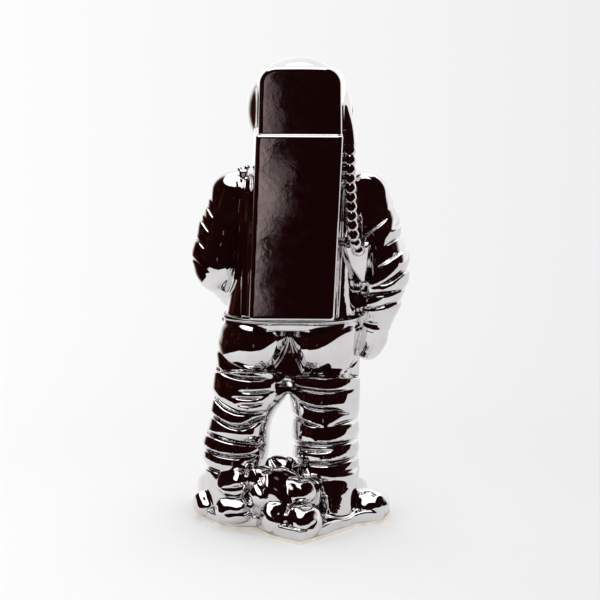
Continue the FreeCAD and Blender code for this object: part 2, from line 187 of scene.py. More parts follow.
# ---------------------------------------------------------------- dimensions, as in the CAD
TORSO = [(162, 6.0, 0, 54.0, 31.0), (185, 5.0, 0, 51.0, 32.0), (220, 3.0, 0, 50.0, 33.0),
         (250, 1.0, 0, 52.5, 33.0), (270, 0.0, 0, 52.0, 30.0), (283, 0.0, 0, 40.0, 25.0),
         (289, 0.5, -2, 30.0, 23.0)]
HELMET_C, HELMET_R = (0.8, -6.0, 331.0), 41.5
PACK_Y = (22.0, 60.0)
PACK_REAR = [(30.2, 318.9), (-35.6, 319.0), (-29.3, 175.8), (36.2, 175.5)]
PACK_FRONT = [(34.5, 321.0), (-37.6, 321.0), (-35.3, 171.0), (41.0, 171.0)]
TOP_Y = (12.0, 56.0)
TOP_REAR = [(27.3, 370.2), (-33.9, 370.2), (-34.6, 321.0), (28.6, 321.0)]
TOP_FRONT = [(33.0, 366.0), (-35.8, 366.0), (-36.6, 321.0), (34.0, 321.0)]
HOSE_PATH = [(-34.5, 25, 336), (-38.3, 29.5, 322), (-40.0, 33, 304), (-40.4, 34.5, 280), (-41.6, 35.5, 256),
             (-43.2, 35, 238), (-47.0, 29.5, 226)]
HOSE_R, HOSE_GROOVE, HOSE_PITCH = 4.9, 1.2, 7.3
BASE = [(86.5, -8), (83.4, 4), (72, 21), (56.3, 38), (34, 40), (20.6, 58), (-3.4, 75.8),
        (-22.6, 56), (-46.2, 27), (-68.5, 14), (-74, -10), (-66, -38), (-42, -58),
        (-6, -64), (34, -63), (66, -58), (82, -38)]
ROCKS = [
    ("rock_rear_tip", (-6, 56, 14), (15, 15, 15), 8),
    ("rock_rear_left", (17, 49, 16), (12.5, 14, 14.5), 7),
    ("rock_side_left", (50.5, 32.2, 15.8), (17.7, 13.2, 12.2), 16),
    ("rock_outer_left", (75, 3, 12), (12.5, 14, 12), 9),
    ("rock_outer_right", (-57, 3, 14), (16.5, 17, 13.5), 10),
    ("rock_upper_left", (51, 24, 36), (14.5, 14, 14), 3),
    ("rock_middle_left", (25.5, 38, 31), (14, 11, 12), 4),
    ("rock_middle_right", (-1, 36, 33), (15, 13, 12), 5),
    ("rock_step", (29, 29, 41), (12.5, 10, 11), 2),
    ("rock_peak", (14, 19, 46), (14.5, 12, 12.5), 1),
    ("rock_front_left", (24, -40, 15), (15, 12, 10), 11),
    ("rock_front_right", (2, -47, 12), (12, 10, 8), 12),
]
ROCK_CORE = ("rock_core", (13, 20, 24), (30, 30, 26), 13)

# trousers: the legs run up under the jacket
L_LEG = [(172, 33.0, 0, 20.0, 20.0), (166, 33.6, 0, 24.5, 26.0), (160, 34.8, 0, 28.4, 30.5), (150, 36.0, 0, 29.6, 31.0), (137, 38.0, 0, 29.8, 30.0),
         (118, 39.7, 0, 30.3, 28.5), (103, 40.2, 0, 31.0, 28.0), (97, 42.4, 0, 29.0, 27.5), (90, 45.4, 0, 26.9, 27.0),
         (82, 47.6, 0, 25.4, 26.5), (75, 49.0, 0, 25.2, 26.5), (69, 51.2, 0, 26.8, 27.0), (60, 51.8, 0, 27.2, 27.0),
         (48, 52.6, 0, 26.0, 26.0), (36, 53.5, 0, 24.0, 24.0), (20, 54, 0, 22, 22)]
R_LEG = [(172, -20.0, 0, 20.0, 20.0), (166, -20.6, 0, 24.5, 26.0), (160, -20.8, 0, 28.4, 30.5), (150, -20.6, 0, 29.0, 31.0), (137, -20.2, 0, 28.9, 30.0),
         (118, -19.8, 0, 28.8, 28.5), (103, -19.6, 0, 28.6, 28.0), (90, -20.6, 0, 27.2, 27.5), (64, -20.8, 0, 27.2, 27.0),
         (50, -21.2, 0, 27.0, 27.0), (39, -21.6, 0, 26.4, 26.6)]
L_ARM = [((51, 0, 264), 20.0), ((58.5, 1, 238), 21.0), ((63.8, 1.5, 216), 21.1), ((63.7, -1, 207.5), 20.9)]
L_FORE = [((63.0, -4, 205.5), 19.6), ((53, -31, 183), 16.8)]
L_CUFF = [((53, -31, 183), 15.0), ((49.5, -37.5, 179.8), 15.0)]
L_HAND = [((48.5, -39, 179), 12.2), ((42.5, -49, 175), 14.0), ((36.5, -57, 171), 11.5), ((33, -61, 169), 7.5)]
L_THUMB = [((47, -45, 188), 4.6), ((41, -54, 187), 4.8), ((36.5, -60, 184), 4.0)]
R_ARM = [((-51.5, 0, 264), 20.0), ((-58, 1, 240), 20.6), ((-64.5, 1, 214), 20.8)]
R_FORE = [((-64.5, 1, 214), 20.6), ((-65.2, 0, 200), 20.0), ((-62.5, -2, 182), 17.2), ((-60.2, -4.4, 166), 14.6)]
R_CUFF = [((-60.6, -4.6, 166), 13.6), ((-59.3, -5.5, 160.0), 13.4)]
R_HAND = [((-59.0, -4.8, 158.0), 12.2), ((-57.4, -8, 149), 11.4), ((-54.5, -10.6, 140.5), 9.6), ((-53.2, -11.5, 138), 8.0)]
R_THUMB = [((-50, -16, 155), 4.4), ((-47, -21, 147), 4.6), ((-46, -23, 141), 3.6)]

torso_rows = Rows(TORSO, 2.3, 3.5)
l_rows = Rows(L_LEG, 2.0, 2.2)
r_rows = Rows(R_LEG, 2.0, 2.2)

# Folds seen on the rear elevation. Each is a line drawn on the plane Y = 0 as it lies in a
# view from behind and a little above: X, Z, depth, height of the shoulder below the line
# and height of the overhang above it.
EYE = (-86.7, 1654.7, 522.0)
L_LEG_STROKES = [
    [(66.6, 139.2, 2.0, 2.5, 4.0), (63.8, 135.5, 2.6, 2.8, 4.5), (58.7, 129.0, 3.2, 2.8, 7.0), (48.2, 124.6, 3.4, 2.8, 11.0), (35.4, 121.8, 4.0, 2.6, 15.0), (25.7, 121.6, 5.0, 2.4, 22.0), (16.1, 121.7, 6.0, 2.4, 28.0), (8.8, 121.8, 6.0, 2.4, 28.0)],
    [(67.6, 124.7, 1.6, 2.6, 1.8), (65.2, 121.9, 2.6, 3.0, 1.8), (59.5, 118.6, 2.8, 3.0, 1.8), (49.9, 115.8, 2.8, 3.0, 2.0), (40.2, 114.9, 2.6, 3.4, 2.0), (30.6, 114.7, 2.0, 3.6, 2.0), (22.5, 115.0, 0.0, 3.0, 2.0)],
    [(71.8, 104.4, 1.6, 3.0, 2.5), (69.5, 101.1, 2.8, 3.4, 3.0), (65.8, 95.4, 3.2, 3.4, 3.6), (59.7, 90.5, 3.4, 3.2, 6.5), (51.7, 86.7, 3.2, 3.0, 6.0), (42.0, 85.7, 2.6, 2.6, 3.0), (33.1, 86.2, 1.6, 2.4, 2.4), (25.8, 87.6, 0.0, 2.0, 2.0)],
    [(72.3, 86.1, 1.4, 2.8, 2.0), (70.3, 83.8, 2.6, 3.2, 2.0), (63.5, 79.2, 3.0, 3.2, 2.0), (56.6, 75.5, 3.2, 3.2, 2.4), (47.7, 73.8, 3.2, 3.2, 4.0), (40.4, 75.3, 2.6, 3.0, 6.0), (32.3, 79.2, 1.0, 2.6, 6.0), (25.8, 81.8, 0.0, 2.0, 2.0)],
    [(78.5, 72.7, 1.4, 2.6, 2.4), (75.3, 69.9, 2.6, 3.0, 3.0), (69.6, 67.0, 3.2, 3.0, 3.6), (59.9, 63.6, 3.4, 2.8, 6.5), (48.6, 61.2, 3.2, 2.8, 8.0), (35.6, 60.2, 2.4, 2.6, 8.0), (27.5, 60.9, 0.0, 2.0, 6.0)],
    [(80.3, 59.7, 1.4, 2.6, 2.0), (77.0, 56.8, 2.4, 3.0, 2.0), (71.4, 53.0, 2.8, 3.0, 2.0), (63.3, 50.8, 2.8, 3.0, 2.2), (51.9, 49.1, 2.6, 3.0, 2.6), (42.2, 49.8, 1.6, 3.0, 3.0), (34.0, 51.6, 0.0, 2.0, 3.0)],
    [(80.4, 45.8, 1.2, 2.4, 3.0), (77.2, 42.5, 2.4, 2.8, 5.0), (72.3, 39.2, 2.8, 2.8, 6.0), (65.0, 36.4, 2.6, 2.8, 6.0), (55.2, 35.7, 1.4, 2.6, 6.0), (47.1, 37.1, 0.0, 2.0, 3.0)],
    [(46.9, 143.9, 0.0, 1.6, 1.6), (43.3, 141.9, 1.5, 2.0, 1.6), (38.5, 139.7, 1.9, 2.2, 1.6), (33.7, 137.4, 1.5, 2.0, 1.6), (31.3, 136.3, 0.0, 1.6, 1.6)],
    [(50.0, 104.3, 0.0, 2.0, 2.0), (45.1, 103.7, 1.5, 2.2, 2.2), (35.4, 103.6, 1.8, 2.2, 2.6), (25.8, 104.6, 1.4, 2.0, 2.2), (20.9, 105.5, 0.0, 2.0, 2.0)],
    [(54.0, 98.8, 0.0, 2.0, 1.6), (50.0, 98.6, 1.5, 1.8, 1.8), (41.9, 98.2, 1.9, 2.0, 2.0), (34.7, 98.4, 1.4, 2.0, 1.8), (30.6, 99.2, 0.0, 2.0, 1.6)],
    [(51.6, 92.9, 0.0, 2.0, 1.6), (47.6, 92.8, 1.4, 2.0, 1.8), (40.3, 92.7, 1.7, 2.0, 2.0), (33.9, 93.3, 1.3, 2.0, 1.8), (29.0, 94.2, 0.0, 2.0, 1.6)],
]
R_LEG_STROKES = [
    [(9.6, 121.8, 6.0, 2.2, 26.0), (3.2, 119.8, 6.4, 2.2, 26.0), (-1.6, 117.8, 6.6, 2.4, 27.0), (-20.1, 117.4, 6.6, 2.4, 27.0), (-36.1, 117.9, 4.8, 2.6, 24.0), (-43.3, 119.1, 2.6, 2.6, 18.0), (-48.9, 121.7, 1.2, 2.6, 10.0)],
    [(8.0, 111.0, 1.4, 2.6, 3.0), (3.2, 108.1, 2.6, 2.8, 2.6), (-2.4, 106.7, 3.0, 2.8, 2.0), (-12.1, 105.7, 3.0, 2.6, 1.8), (-24.1, 104.8, 3.0, 2.6, 1.8), (-32.9, 105.3, 2.4, 3.0, 3.0), (-40.2, 107.0, 1.0, 3.0, 5.0), (-45.8, 108.4, 0.0, 3.0, 5.0)],
    [(0.0, 95.8, 0.0, 2.6, 2.0), (-4.8, 93.3, 2.4, 2.6, 1.8), (-12.1, 91.1, 3.0, 2.6, 2.2), (-22.5, 90.2, 3.0, 2.6, 3.2), (-30.6, 89.7, 2.8, 3.0, 5.0), (-37.0, 88.1, 1.8, 3.0, 6.5), (-45.1, 86.9, 0.0, 3.0, 6.0)],
    [(8.9, 88.2, 1.4, 2.4, 1.8), (4.8, 85.4, 2.4, 2.8, 1.8), (0.0, 81.3, 2.8, 2.8, 1.8), (-6.5, 78.1, 2.6, 2.6, 1.8), (-12.9, 76.1, 1.6, 2.4, 1.8), (-17.8, 75.4, 0.0, 2.0, 1.8)],
    [(-23.4, 75.8, 0.0, 2.4, 2.0), (-28.2, 77.4, 1.8, 2.8, 3.2), (-33.9, 79.3, 2.6, 3.2, 5.0), (-40.3, 81.4, 2.4, 3.4, 6.5), (-46.7, 83.6, 1.6, 3.2, 6.0)],
    [(8.9, 66.6, 1.4, 2.6, 1.8), (4.9, 63.4, 2.6, 3.0, 1.8), (-2.4, 61.6, 3.0, 3.0, 2.0), (-12.9, 61.0, 3.2, 2.8, 2.4), (-24.2, 61.0, 3.0, 3.0, 3.0), (-33.9, 62.3, 2.8, 3.2, 4.4), (-42.0, 64.9, 2.2, 3.2, 6.0), (-48.4, 67.8, 1.4, 3.0, 6.0)],
    [(8.1, 51.1, 1.4, 2.6, 1.8), (3.2, 48.2, 2.4, 3.0, 1.8), (-4.0, 45.7, 2.8, 3.2, 2.0), (-14.6, 44.7, 3.0, 3.4, 2.6), (-25.9, 45.2, 3.0, 3.6, 3.6), (-35.6, 47.4, 2.8, 3.6, 5.0), (-42.9, 50.5, 2.2, 3.4, 6.0), (-49.3, 53.6, 1.4, 3.0, 6.0)],
    [(8.1, 39.3, 1.6, 2.6, 2.4), (2.4, 35.2, 2.6, 3.0, 2.4), (-4.9, 31.5, 3.2, 3.2, 2.6), (-14.6, 29.4, 3.4, 3.2, 3.0), (-26.0, 29.1, 3.4, 3.2, 3.4), (-37.3, 31.0, 3.0, 3.2, 4.0), (-45.4, 34.8, 2.2, 3.0, 4.0), (-50.2, 37.7, 1.4, 3.0, 4.0)],
    [(-1.6, 55.9, 0.0, 2.0, 1.6), (-6.5, 55.0, 1.4, 2.2, 1.8), (-14.6, 54.8, 1.7, 2.4, 2.0), (-22.6, 55.4, 1.4, 2.2, 1.8), (-27.5, 56.2, 0.0, 2.0, 1.6)],
    [(-32.9, 119.4, 0.0, 2.0, 1.6), (-36.1, 122.7, 1.6, 2.4, 2.2), (-40.9, 126.8, 2.0, 2.8, 2.6), (-45.6, 131.2, 1.6, 2.4, 2.2), (-48.8, 134.0, 0.0, 2.0, 1.6)],
    [(-30.4, 153.8, 0.0, 2.0, 1.6), (-33.5, 155.9, 1.0, 2.0, 1.8), (-37.5, 158.6, 1.2, 2.0, 1.8), (-41.5, 161.7, 0.0, 2.0, 1.6)],
]
R_ARM_STROKES = [
    [(-69.4, 253.9, 0.0, 2.0, 6.0), (-72.1, 255.7, 1.4, 2.0, 6.0), (-75.6, 258.3, 1.8, 2.2, 6.0)],
    [(-48.3, 230.1, 0.0, 1.6, 12.0), (-51.0, 232.7, 2.0, 2.2, 12.0), (-56.1, 236.7, 2.6, 2.4, 12.0), (-61.6, 240.9, 2.6, 2.4, 12.0), (-66.3, 244.5, 2.0, 2.0, 12.0), (-69.5, 247.1, 0.0, 1.6, 12.0)],
    [(-72.3, 237.3, 0.0, 2.0, 8.0), (-75.4, 239.4, 1.6, 2.0, 8.0), (-79.7, 242.5, 2.0, 2.2, 8.0)],
    [(-66.1, 223.8, 0.0, 1.6, 9.0), (-68.8, 225.6, 1.6, 1.8, 9.0), (-73.6, 228.5, 2.1, 2.0, 9.0), (-78.3, 231.5, 2.0, 2.0, 9.0), (-82.2, 234.1, 1.6, 2.0, 9.0)],
    [(-59.9, 206.5, 0.0, 2.0, 13.0), (-63.4, 209.3, 2.4, 2.8, 13.0), (-69.7, 213.4, 3.0, 3.4, 13.0), (-76.0, 217.5, 3.0, 3.6, 13.0), (-81.5, 221.2, 2.4, 2.8, 13.0), (-86.2, 224.2, 1.0, 2.0, 13.0)],
    [(-56.4, 190.7, 0.0, 2.0, 1.6), (-62.0, 192.3, 1.2, 2.4, 2.4), (-69.1, 194.8, 2.6, 3.0, 3.8), (-75.4, 198.8, 3.0, 3.2, 5.0), (-80.9, 203.5, 3.0, 3.2, 5.0), (-87.2, 208.4, 2.2, 3.0, 4.0)],
    [(-49.3, 185.4, 0.6, 2.0, 1.6), (-53.3, 184.6, 2.4, 3.0, 1.8), (-62.0, 185.4, 3.0, 3.4, 2.2), (-70.8, 186.3, 3.0, 3.6, 4.0), (-77.9, 188.5, 2.2, 3.4, 6.0), (-84.2, 191.0, 1.2, 3.0, 6.0)],
    [(-49.4, 173.6, 0.0, 2.0, 2.0), (-54.2, 173.3, 1.4, 2.4, 3.4), (-62.1, 174.7, 2.2, 3.0, 4.6), (-70.0, 177.2, 2.2, 3.2, 5.6), (-77.2, 180.0, 1.4, 3.0, 6.0)],
]
L_ARM_STROKES = [
    [(75.9, 269.5, 1.6, 2.0, 7.0), (73.1, 266.6, 2.0, 2.2, 7.0), (70.8, 261.8, 1.8, 2.0, 7.0), (69.0, 257.2, 0.0, 1.6, 7.0)],
    [(77.2, 259.4, 1.4, 1.6, 7.0), (74.4, 255.9, 1.6, 1.6, 7.0), (71.3, 250.8, 1.2, 1.4, 7.0), (67.9, 244.7, 0.0, 1.2, 7.0)],
    [(80.3, 255.2, 1.4, 2.0, 7.0), (77.6, 252.2, 1.8, 2.2, 7.0), (75.3, 247.1, 1.2, 1.8, 7.0), (73.4, 242.8, 0.0, 1.6, 7.0)],
    [(81.2, 247.4, 1.4, 1.6, 7.0), (78.2, 243.4, 1.6, 1.6, 7.0), (74.6, 237.8, 1.3, 1.4, 7.0), (70.4, 231.4, 0.0, 1.2, 7.0)],
    [(86.2, 232.7, 0.9, 2.2, 1.6), (81.9, 228.1, 1.1, 2.4, 2.0), (77.1, 222.6, 0.9, 2.2, 2.0), (72.4, 216.9, 0.0, 2.0, 2.0)],
    [(88.4, 215.1, 0.9, 2.2, 1.6), (83.6, 211.1, 1.1, 2.4, 2.0), (77.3, 205.6, 0.9, 2.2, 2.0), (70.1, 200.7, 0.0, 2.0, 2.0)],
]
# the jacket is tucked in under the right armpit
TUCK_STROKE = [(-60, 203, 8.5, 2.5, 30), (-55, 199, 8.5, 2.5, 30), (-50, 196, 8.5, 2.5, 30), (-45, 203, 6, 2.5, 24),
               (-40, 212, 3, 2.5, 16), (-36, 219, 0, 2, 12)]


def rear(X, Y, Z):
    t = EYE[1] / (EYE[1] - Y)
    return EYE[0] + (X - EYE[0]) * t, EYE[2] + (Z - EYE[2]) * t


class Fold:
    def __init__(self, pts, sigma=1.6, tail=0.0, tail_w=11.0, scale=1.0):
        self.tail, self.tail_w, self.scale = tail, tail_w, scale
        a = np.array(sorted(pts), float)
        self.x = np.arange(a[0, 0] - 6, a[-1, 0] + 6, 0.25)
        t = [np.interp(self.x, a[:, 0], a[:, i]) for i in range(1, 5)]
        n = int(3 * sigma / 0.25)
        g = np.exp(-0.5 * (np.arange(-n, n + 1) * 0.25 / sigma) ** 2)
        g /= g.sum()
        # past its ends the line runs on straight and fades out
        for i in (0,):
            lo_s = (a[1, 1] - a[0, 1]) / (a[1, 0] - a[0, 0])
            hi_s = (a[-1, 1] - a[-2, 1]) / (a[-1, 0] - a[-2, 0])
            t[0] = np.where(self.x < a[0, 0], a[0, 1] + lo_s * (self.x - a[0, 0]), t[0])
            t[0] = np.where(self.x > a[-1, 0], a[-1, 1] + hi_s * (self.x - a[-1, 0]), t[0])
        z0 = np.convolve(np.pad(t[0], n, mode="edge"), g, mode="valid")
        z0[:n] = t[0][:n]
        z0[-n:] = t[0][-n:]
        t[0] = z0
        for i in (1, 2, 3):
            t[i] = np.convolve(np.pad(t[i], n, mode="edge"), g, mode="valid")
        self.t = t
        self.c = 1.0 / np.sqrt(1.0 + np.gradient(z0, self.x) ** 2)

    def depth(self, x, z):
        """How far the cloth is pressed in at a place of the rear elevation."""
        zc, d, wl, wh = [np.interp(x, self.x, v) for v in self.t]
        s = (z - zc) * np.interp(x, self.x, self.c)
        q = np.where(s > 0, s / wh, -s / wl)
        v = np.clip(1.0 - q, 0.0, 1.0) ** 1.5
        if self.tail:
            q = np.where(s > 0, s / wh, -s / self.tail_w)
            v = v + self.tail * np.clip(1.0 - q, 0.0, 1.0) ** 1.5
        return self.scale * np.maximum(d, 0.0) * v


def folds_on_back(folds, X, Y, Z, y0=-9.0, y1=-1.0):
    x, z = rear(X, Y, Z)
    out = 0.0
    for f in folds:
        out = out + f.depth(x, z)
    return out * ss(y0, y1, Y)


L_LEG_FOLDS = [Fold(p, 1.6, 0.85, 11.0, 0.75) for p in L_LEG_STROKES[:7]] + [Fold(p) for p in L_LEG_STROKES[7:]]
R_LEG_FOLDS = [Fold(p, 1.6, 0.85, 11.0, 0.75) for p in R_LEG_STROKES[:8]] + [Fold(p) for p in R_LEG_STROKES[8:]]
L_LEG_FOLDS[0] = Fold(L_LEG_STROKES[0], 1.6, 1.2, 11.0, 0.35)
R_LEG_FOLDS[0] = Fold(R_LEG_STROKES[0], 1.6, 1.2, 11.0, 0.30)
R_LEG_FOLDS[7] = Fold(R_LEG_STROKES[7], 1.6, 1.3, 21.0, 0.75)
L_ARM_BACK = [Fold(p, 0.8) for p in L_ARM_STROKES]
R_ARM_BACK = [Fold(p, 1.0) for p in R_ARM_STROKES]
TUCK = [Fold(TUCK_STROKE, 1.4)]
L_FOLDS, R_FOLDS = [], []


def fold_sum(rows, folds, X, Y, Z):
    th = rows.ang(X, Y, Z)
    out = 0.0
    for z0, slope, curl, a0, aw, depth, w in folds:
        u = wrap(th - a0)
        zc = z0 + slope * (wrap(th - a0) + a0 if slope else 0.0) + curl * u * u
        out = out + crease(Z - zc, u, aw, depth, w)
    return out


def front_folds(seed, z0, z1, step, slope):
    s = seed
    out = []
    z = z0
    while z < z1:
        s = (s * 16807 + 11) % 2147483647
        r = s / 2147483647.0
        out.append((z, slope * (0.5 + r), 2.0, -1.57 + (r - 0.5) * 1.2, 1.1 + 0.4 * r, 2.2 + 1.2 * r, 3.4))
        z += step * (0.85 + 0.3 * r)
    return out


L_FOLDS += front_folds(77, 58, 140, 13, 2.0)
R_FOLDS += front_folds(991, 52, 140, 13, -2.0)

FIELDS = []


def add(names, lo, hi, func, k=1.6, label=None, pad=5.0):
    """A field: piece names, box, function, glaze fillet, and how its pieces divide."""
    FIELDS.append({"names": names, "lo": np.array(lo, float) - pad, "hi": np.array(hi, float) + pad,
                   "f": func, "k": k, "label": label})


def box_of(path):
    a = np.array([p for p, r in path], float)
    r = max(r for p, r in path)
    return a.min(0) - r, a.max(0) + r


# ---------------------------------------------------------------- base and rocks
def base_f(X, Y, Z):
    # distance to the plan outline, by its edges
    n = len(BASE)
    d = None
    inside = np.zeros(np.broadcast(X, Y).shape, bool)
    XX, YY = np.broadcast_arrays(X, Y)
    for i in range(n):
        ax, ay = BASE[i]
        bx, by = BASE[(i + 1) % n]
        ex, ey = bx - ax, by - ay
        t = np.clip(((XX - ax) * ex + (YY - ay) * ey) / (ex * ex + ey * ey), 0, 1)
        q = (XX - ax - t * ex) ** 2 + (YY - ay - t * ey) ** 2
        d = q if d is None else np.minimum(d, q)
        cond = ((ay > YY) != (by > YY)) & (XX < (bx - ax) * (YY - ay) / (by - ay + 1e-12) + ax)
        inside ^= cond
    d = np.sqrt(d)
    d = np.where(inside, -d, d) + 1.2
    wall = d + 0.9 * np.sin(X * 0.19 + 1.1) * np.cos(Y * 0.17)
    top = Z - 10.5 - 1.2 * np.sin(X * 0.13 + Y * 0.11)
    return smax(smax(wall, top, 1.8), 2.6 - Z, 1.0)


add(["rock_plate"], (-75, -65, 3.2), (88, 77, 13), base_f, 3.0)


def facets(seed, n=11):
    s = (seed * 7919 + 12345) % 2147483647
    out = []
    for i in range(n):
        vals = []
        for _ in range(3):
            s = (s * 16807) % 2147483647
            vals.append(s / 2147483647.0)
        z = 1 - 2 * (i + 0.5) / n
        a = i * 2.399963 + seed * 1.7 + (vals[0] - 0.5) * 1.1
        z = max(-1.0, min(1.0, z + (vals[1] - 0.5) * 0.25))
        r = math.sqrt(max(0.0, 1 - z * z))
        out.append(((r * math.cos(a), r * math.sin(a), z), 0.74 + 0.22 * vals[2]))
    return out


# broad faces of the rocks at the back: azimuth from +Y towards -X, upward lean, distance
ROCK_FACES = {
    "rock_rear_tip": [(6, 13, 0.86), (-48, 15, 0.84), (56, 12, 0.84), (-22, 44, 0.84), (30, 38, 0.86), (0, 76, 0.86), (5, -12, 0.97)],
    "rock_rear_left": [(-4, 12, 0.86), (-56, 14, 0.85), (46, 14, 0.84), (14, 42, 0.64), (-30, 46, 0.80), (0, 76, 0.85), (-10, -12, 0.97)],
    "rock_side_left": [(-10, 13, 0.86), (-58, 16, 0.86), (46, 12, 0.86), (-12, 43, 0.79), (0, 72, 0.84), (-12, -12, 0.97)],
    "rock_outer_left": [(8, 40, 0.70), (-58, 14, 0.84), (34, 12, 0.86), (60, 34, 0.84), (0, 74, 0.86), (-5, -12, 0.95)],
    "rock_outer_right": [(0, 12, 0.86), (46, 14, 0.86), (-44, 14, 0.86), (-8, 40, 0.74), (30, 70, 0.88), (10, -12, 0.92)],
    "rock_upper_left": [(-6, 11, 0.86), (-40, 42, 0.64), (44, 13, 0.86), (12, 48, 0.84), (0, 76, 0.86), (0, -12, 0.96)],
    "rock_middle_left": [(16, 12, 0.85), (-44, 12, 0.85), (58, 14, 0.85), (34, 46, 0.70), (-20, 44, 0.80), (0, 76, 0.86)],
    "rock_middle_right": [(0, 13, 0.88), (-46, 15, 0.86), (48, 13, 0.86), (-26, 40, 0.74), (22, 46, 0.84), (0, 76, 0.88)],
    "rock_step": [(18, 40, 0.68), (-34, 13, 0.85), (56, 16, 0.85), (0, 70, 0.86), (-10, 14, 0.92)],
    "rock_peak": [(-22, 38, 0.66), (22, 13, 0.84), (58, 22, 0.84), (-54, 15, 0.86), (0, 72, 0.86)],
}
# dents across single rocks: height, slope, middle, half length, depth
ROCK_DENTS = {
    "rock_side_left": [(15.5, -0.10, 48.0, 12.0, 1.5)],
    "rock_upper_left": [(34.0, -0.12, 52.0, 11.0, 1.6)],
    "rock_middle_left": [(33.0, 0.9, 27.0, 8.0, 1.5)],
    "rock_rear_tip": [(13.0, -0.45, -10.0, 7.0, 0.8)],
    "rock_step": [(40.0, 1.1, 27.0, 8.0, 1.6)],
    "rock_peak": [(47.0, 1.0, 16.0, 9.0, 1.6)],
}


def rock_f(c, half, seed, k=3.0, name=""):
    pl = []
    rear = ROCK_FACES.get(name)
    for az, el, d in rear or ():
        a, e = math.radians(az), math.radians(el)
        m = np.array([-math.sin(a) * math.cos(e), math.cos(a) * math.cos(e), math.sin(e)])
        sup = math.sqrt(sum((m[i] * half[i]) ** 2 for i in range(3)))
        pl.append((float(m[0]), float(m[1]), float(m[2]), float(m @ np.array(c, float) + d * sup)))
    for n, d in facets(seed):
        if rear and n[1] > -0.25:
            continue
        q = np.array([n[i] * half[i] * d + c[i] for i in range(3)])
        m = np.array([n[i] / half[i] for i in range(3)])
        m /= np.linalg.norm(m)
        pl.append((float(m[0]), float(m[1]), float(m[2]), float(m @ q)))
    for i in range(3):
        for sgn in (1, -1):
            if rear and (i == 0 or (i == 1 and sgn == 1)):
                continue
            m = [0.0, 0.0, 0.0]
            m[i] = float(sgn)
            pl.append((m[0], m[1], m[2], sgn * c[i] + half[i]))

    def f(X, Y, Z):
        v = planes(X, Y, Z, pl, k)
        if rear:
            v = smax(v, ellipsoid(X, Y, Z, c, [h * 0.99 for h in half]), 3.2)
        # soft hollows pressed into the clay
        v = v + 0.30 * np.sin(X * 0.42 + seed) * np.sin(Y * 0.39 + 2 * seed) * np.sin(Z * 0.45 + 3 * seed)
        for z0, sl, xm, hw, dep in ROCK_DENTS.get(name, ()):
            v = v + crease((Z - z0 - sl * (X - xm)) / math.sqrt(1 + sl * sl), X - xm, hw, dep, 1.5) * (Y > c[1] - 4)
        return smax(v, 3.4 - Z, 1.0)
    return f


for nm, c, half, seed in ROCKS + [ROCK_CORE]:
    c_, h_ = np.array(c, float), np.array(half, float)
    lo, hi = c_ - h_, c_ + h_
    lo[2] = max(lo[2], 3.4)
    add([nm], lo, hi, rock_f(c, half, seed, 2.4, nm), 0.9, pad=4.0)


# ---------------------------------------------------------------- legs, boots, pelvis
def foot_f(heel, toe, w, h, X, Y, Z, flare=0.0):
    hx, hy = heel
    tx, ty = toe
    L = math.hypot(tx - hx, ty - hy)
    dx, dy = (tx - hx) / L, (ty - hy) / L
    s = (X - hx) * dx + (Y - hy) * dy
    t = -(X - hx) * dy + (Y - hy) * dx
    # plan: rounded, wider at the ball of the foot
    hw = w * (0.40 + 0.10 * ss(0.25, 0.7, s / L))
    plan = np.sqrt(np.maximum(np.abs(t) / hw, 0.0) ** 2 * hw * hw
                   + (np.maximum(np.maximum(-s + hw * 0.85, s - (L - hw * 0.8)), 0.0)) ** 2) - hw
    plan = plan - flare * np.clip(32.0 - Z, 0.0, 19.0) * ss(24.0, 6.0, s)
    top = h * (1.0 - 0.52 * ss(0.30, 1.0, s / L))
    up = (Z - 10.0 - top) * 0.9
    body = smax(plan, up, 9.0)
    return smax(body, 9.0 - Z, 1.0)


class Seat:
    """The cloth under the seat falls away forwards, from a line across the back down to z0."""

    def __init__(self, line, z0, s=0.30, most=10.0):
        a = np.array(sorted(line), float)
        self.x = np.arange(a[0, 0] - 8, a[-1, 0] + 8, 0.25)
        z = np.interp(self.x, a[:, 0], a[:, 1])
        g = np.exp(-0.5 * (np.arange(-24, 25) * 0.25 / 2.0) ** 2)
        self.z = np.convolve(np.pad(z, 24, mode="edge"), g / g.sum(), mode="valid")
        self.z0, self.s, self.most = z0, s, most

    def add(self, f, X, Y, Z):
        x, z = rear(X, Y, Z)
        d = np.interp(x, self.x, self.z) - z
        d = 0.5 * (d + np.sqrt(d * d + 4.0)) - 0.4
        d = self.most * (1.0 - np.exp(-self.s * np.maximum(d, 0.0) / self.most))
        return f + d * ss(self.z0 - 2.5, self.z0 + 0.5, z) * ss(-9.0, -1.0, Y)


L_SEAT = Seat([(5.0, 158.0), (7.3, 155.2), (11.9, 152.0), (29.9, 139.0), (40.0, 137.3), (56.8, 136.3), (64.0, 134.5)], 122.0)
R_SEAT = Seat([(8.0, 153.0), (5.5, 143.5), (-4.7, 138.0), (-15.0, 141.5), (-26.7, 148.5), (-39.0, 155.0), (-48.0, 159.0)], 118.5)


def l_leg(X, Y, Z):
    f = L_SEAT.add(l_rows.f(X, Y, Z), X, Y, Z)
    f = f + fold_sum(l_rows, L_FOLDS, X, Y, Z) * ss(2.0, -5.0, Y) + folds_on_back(L_LEG_FOLDS, X, Y, Z)
    return smax(smax(f, Z - 172, 4), 12 - Z, 2)


def r_leg(X, Y, Z):
    f = R_SEAT.add(r_rows.f(X, Y, Z), X, Y, Z)
    f = f + fold_sum(r_rows, R_FOLDS, X, Y, Z) * ss(2.0, -5.0, Y) + folds_on_back(R_LEG_FOLDS, X, Y, Z)
    return smax(smax(f, Z - 172, 4), 38.2 - Z, 2.2)


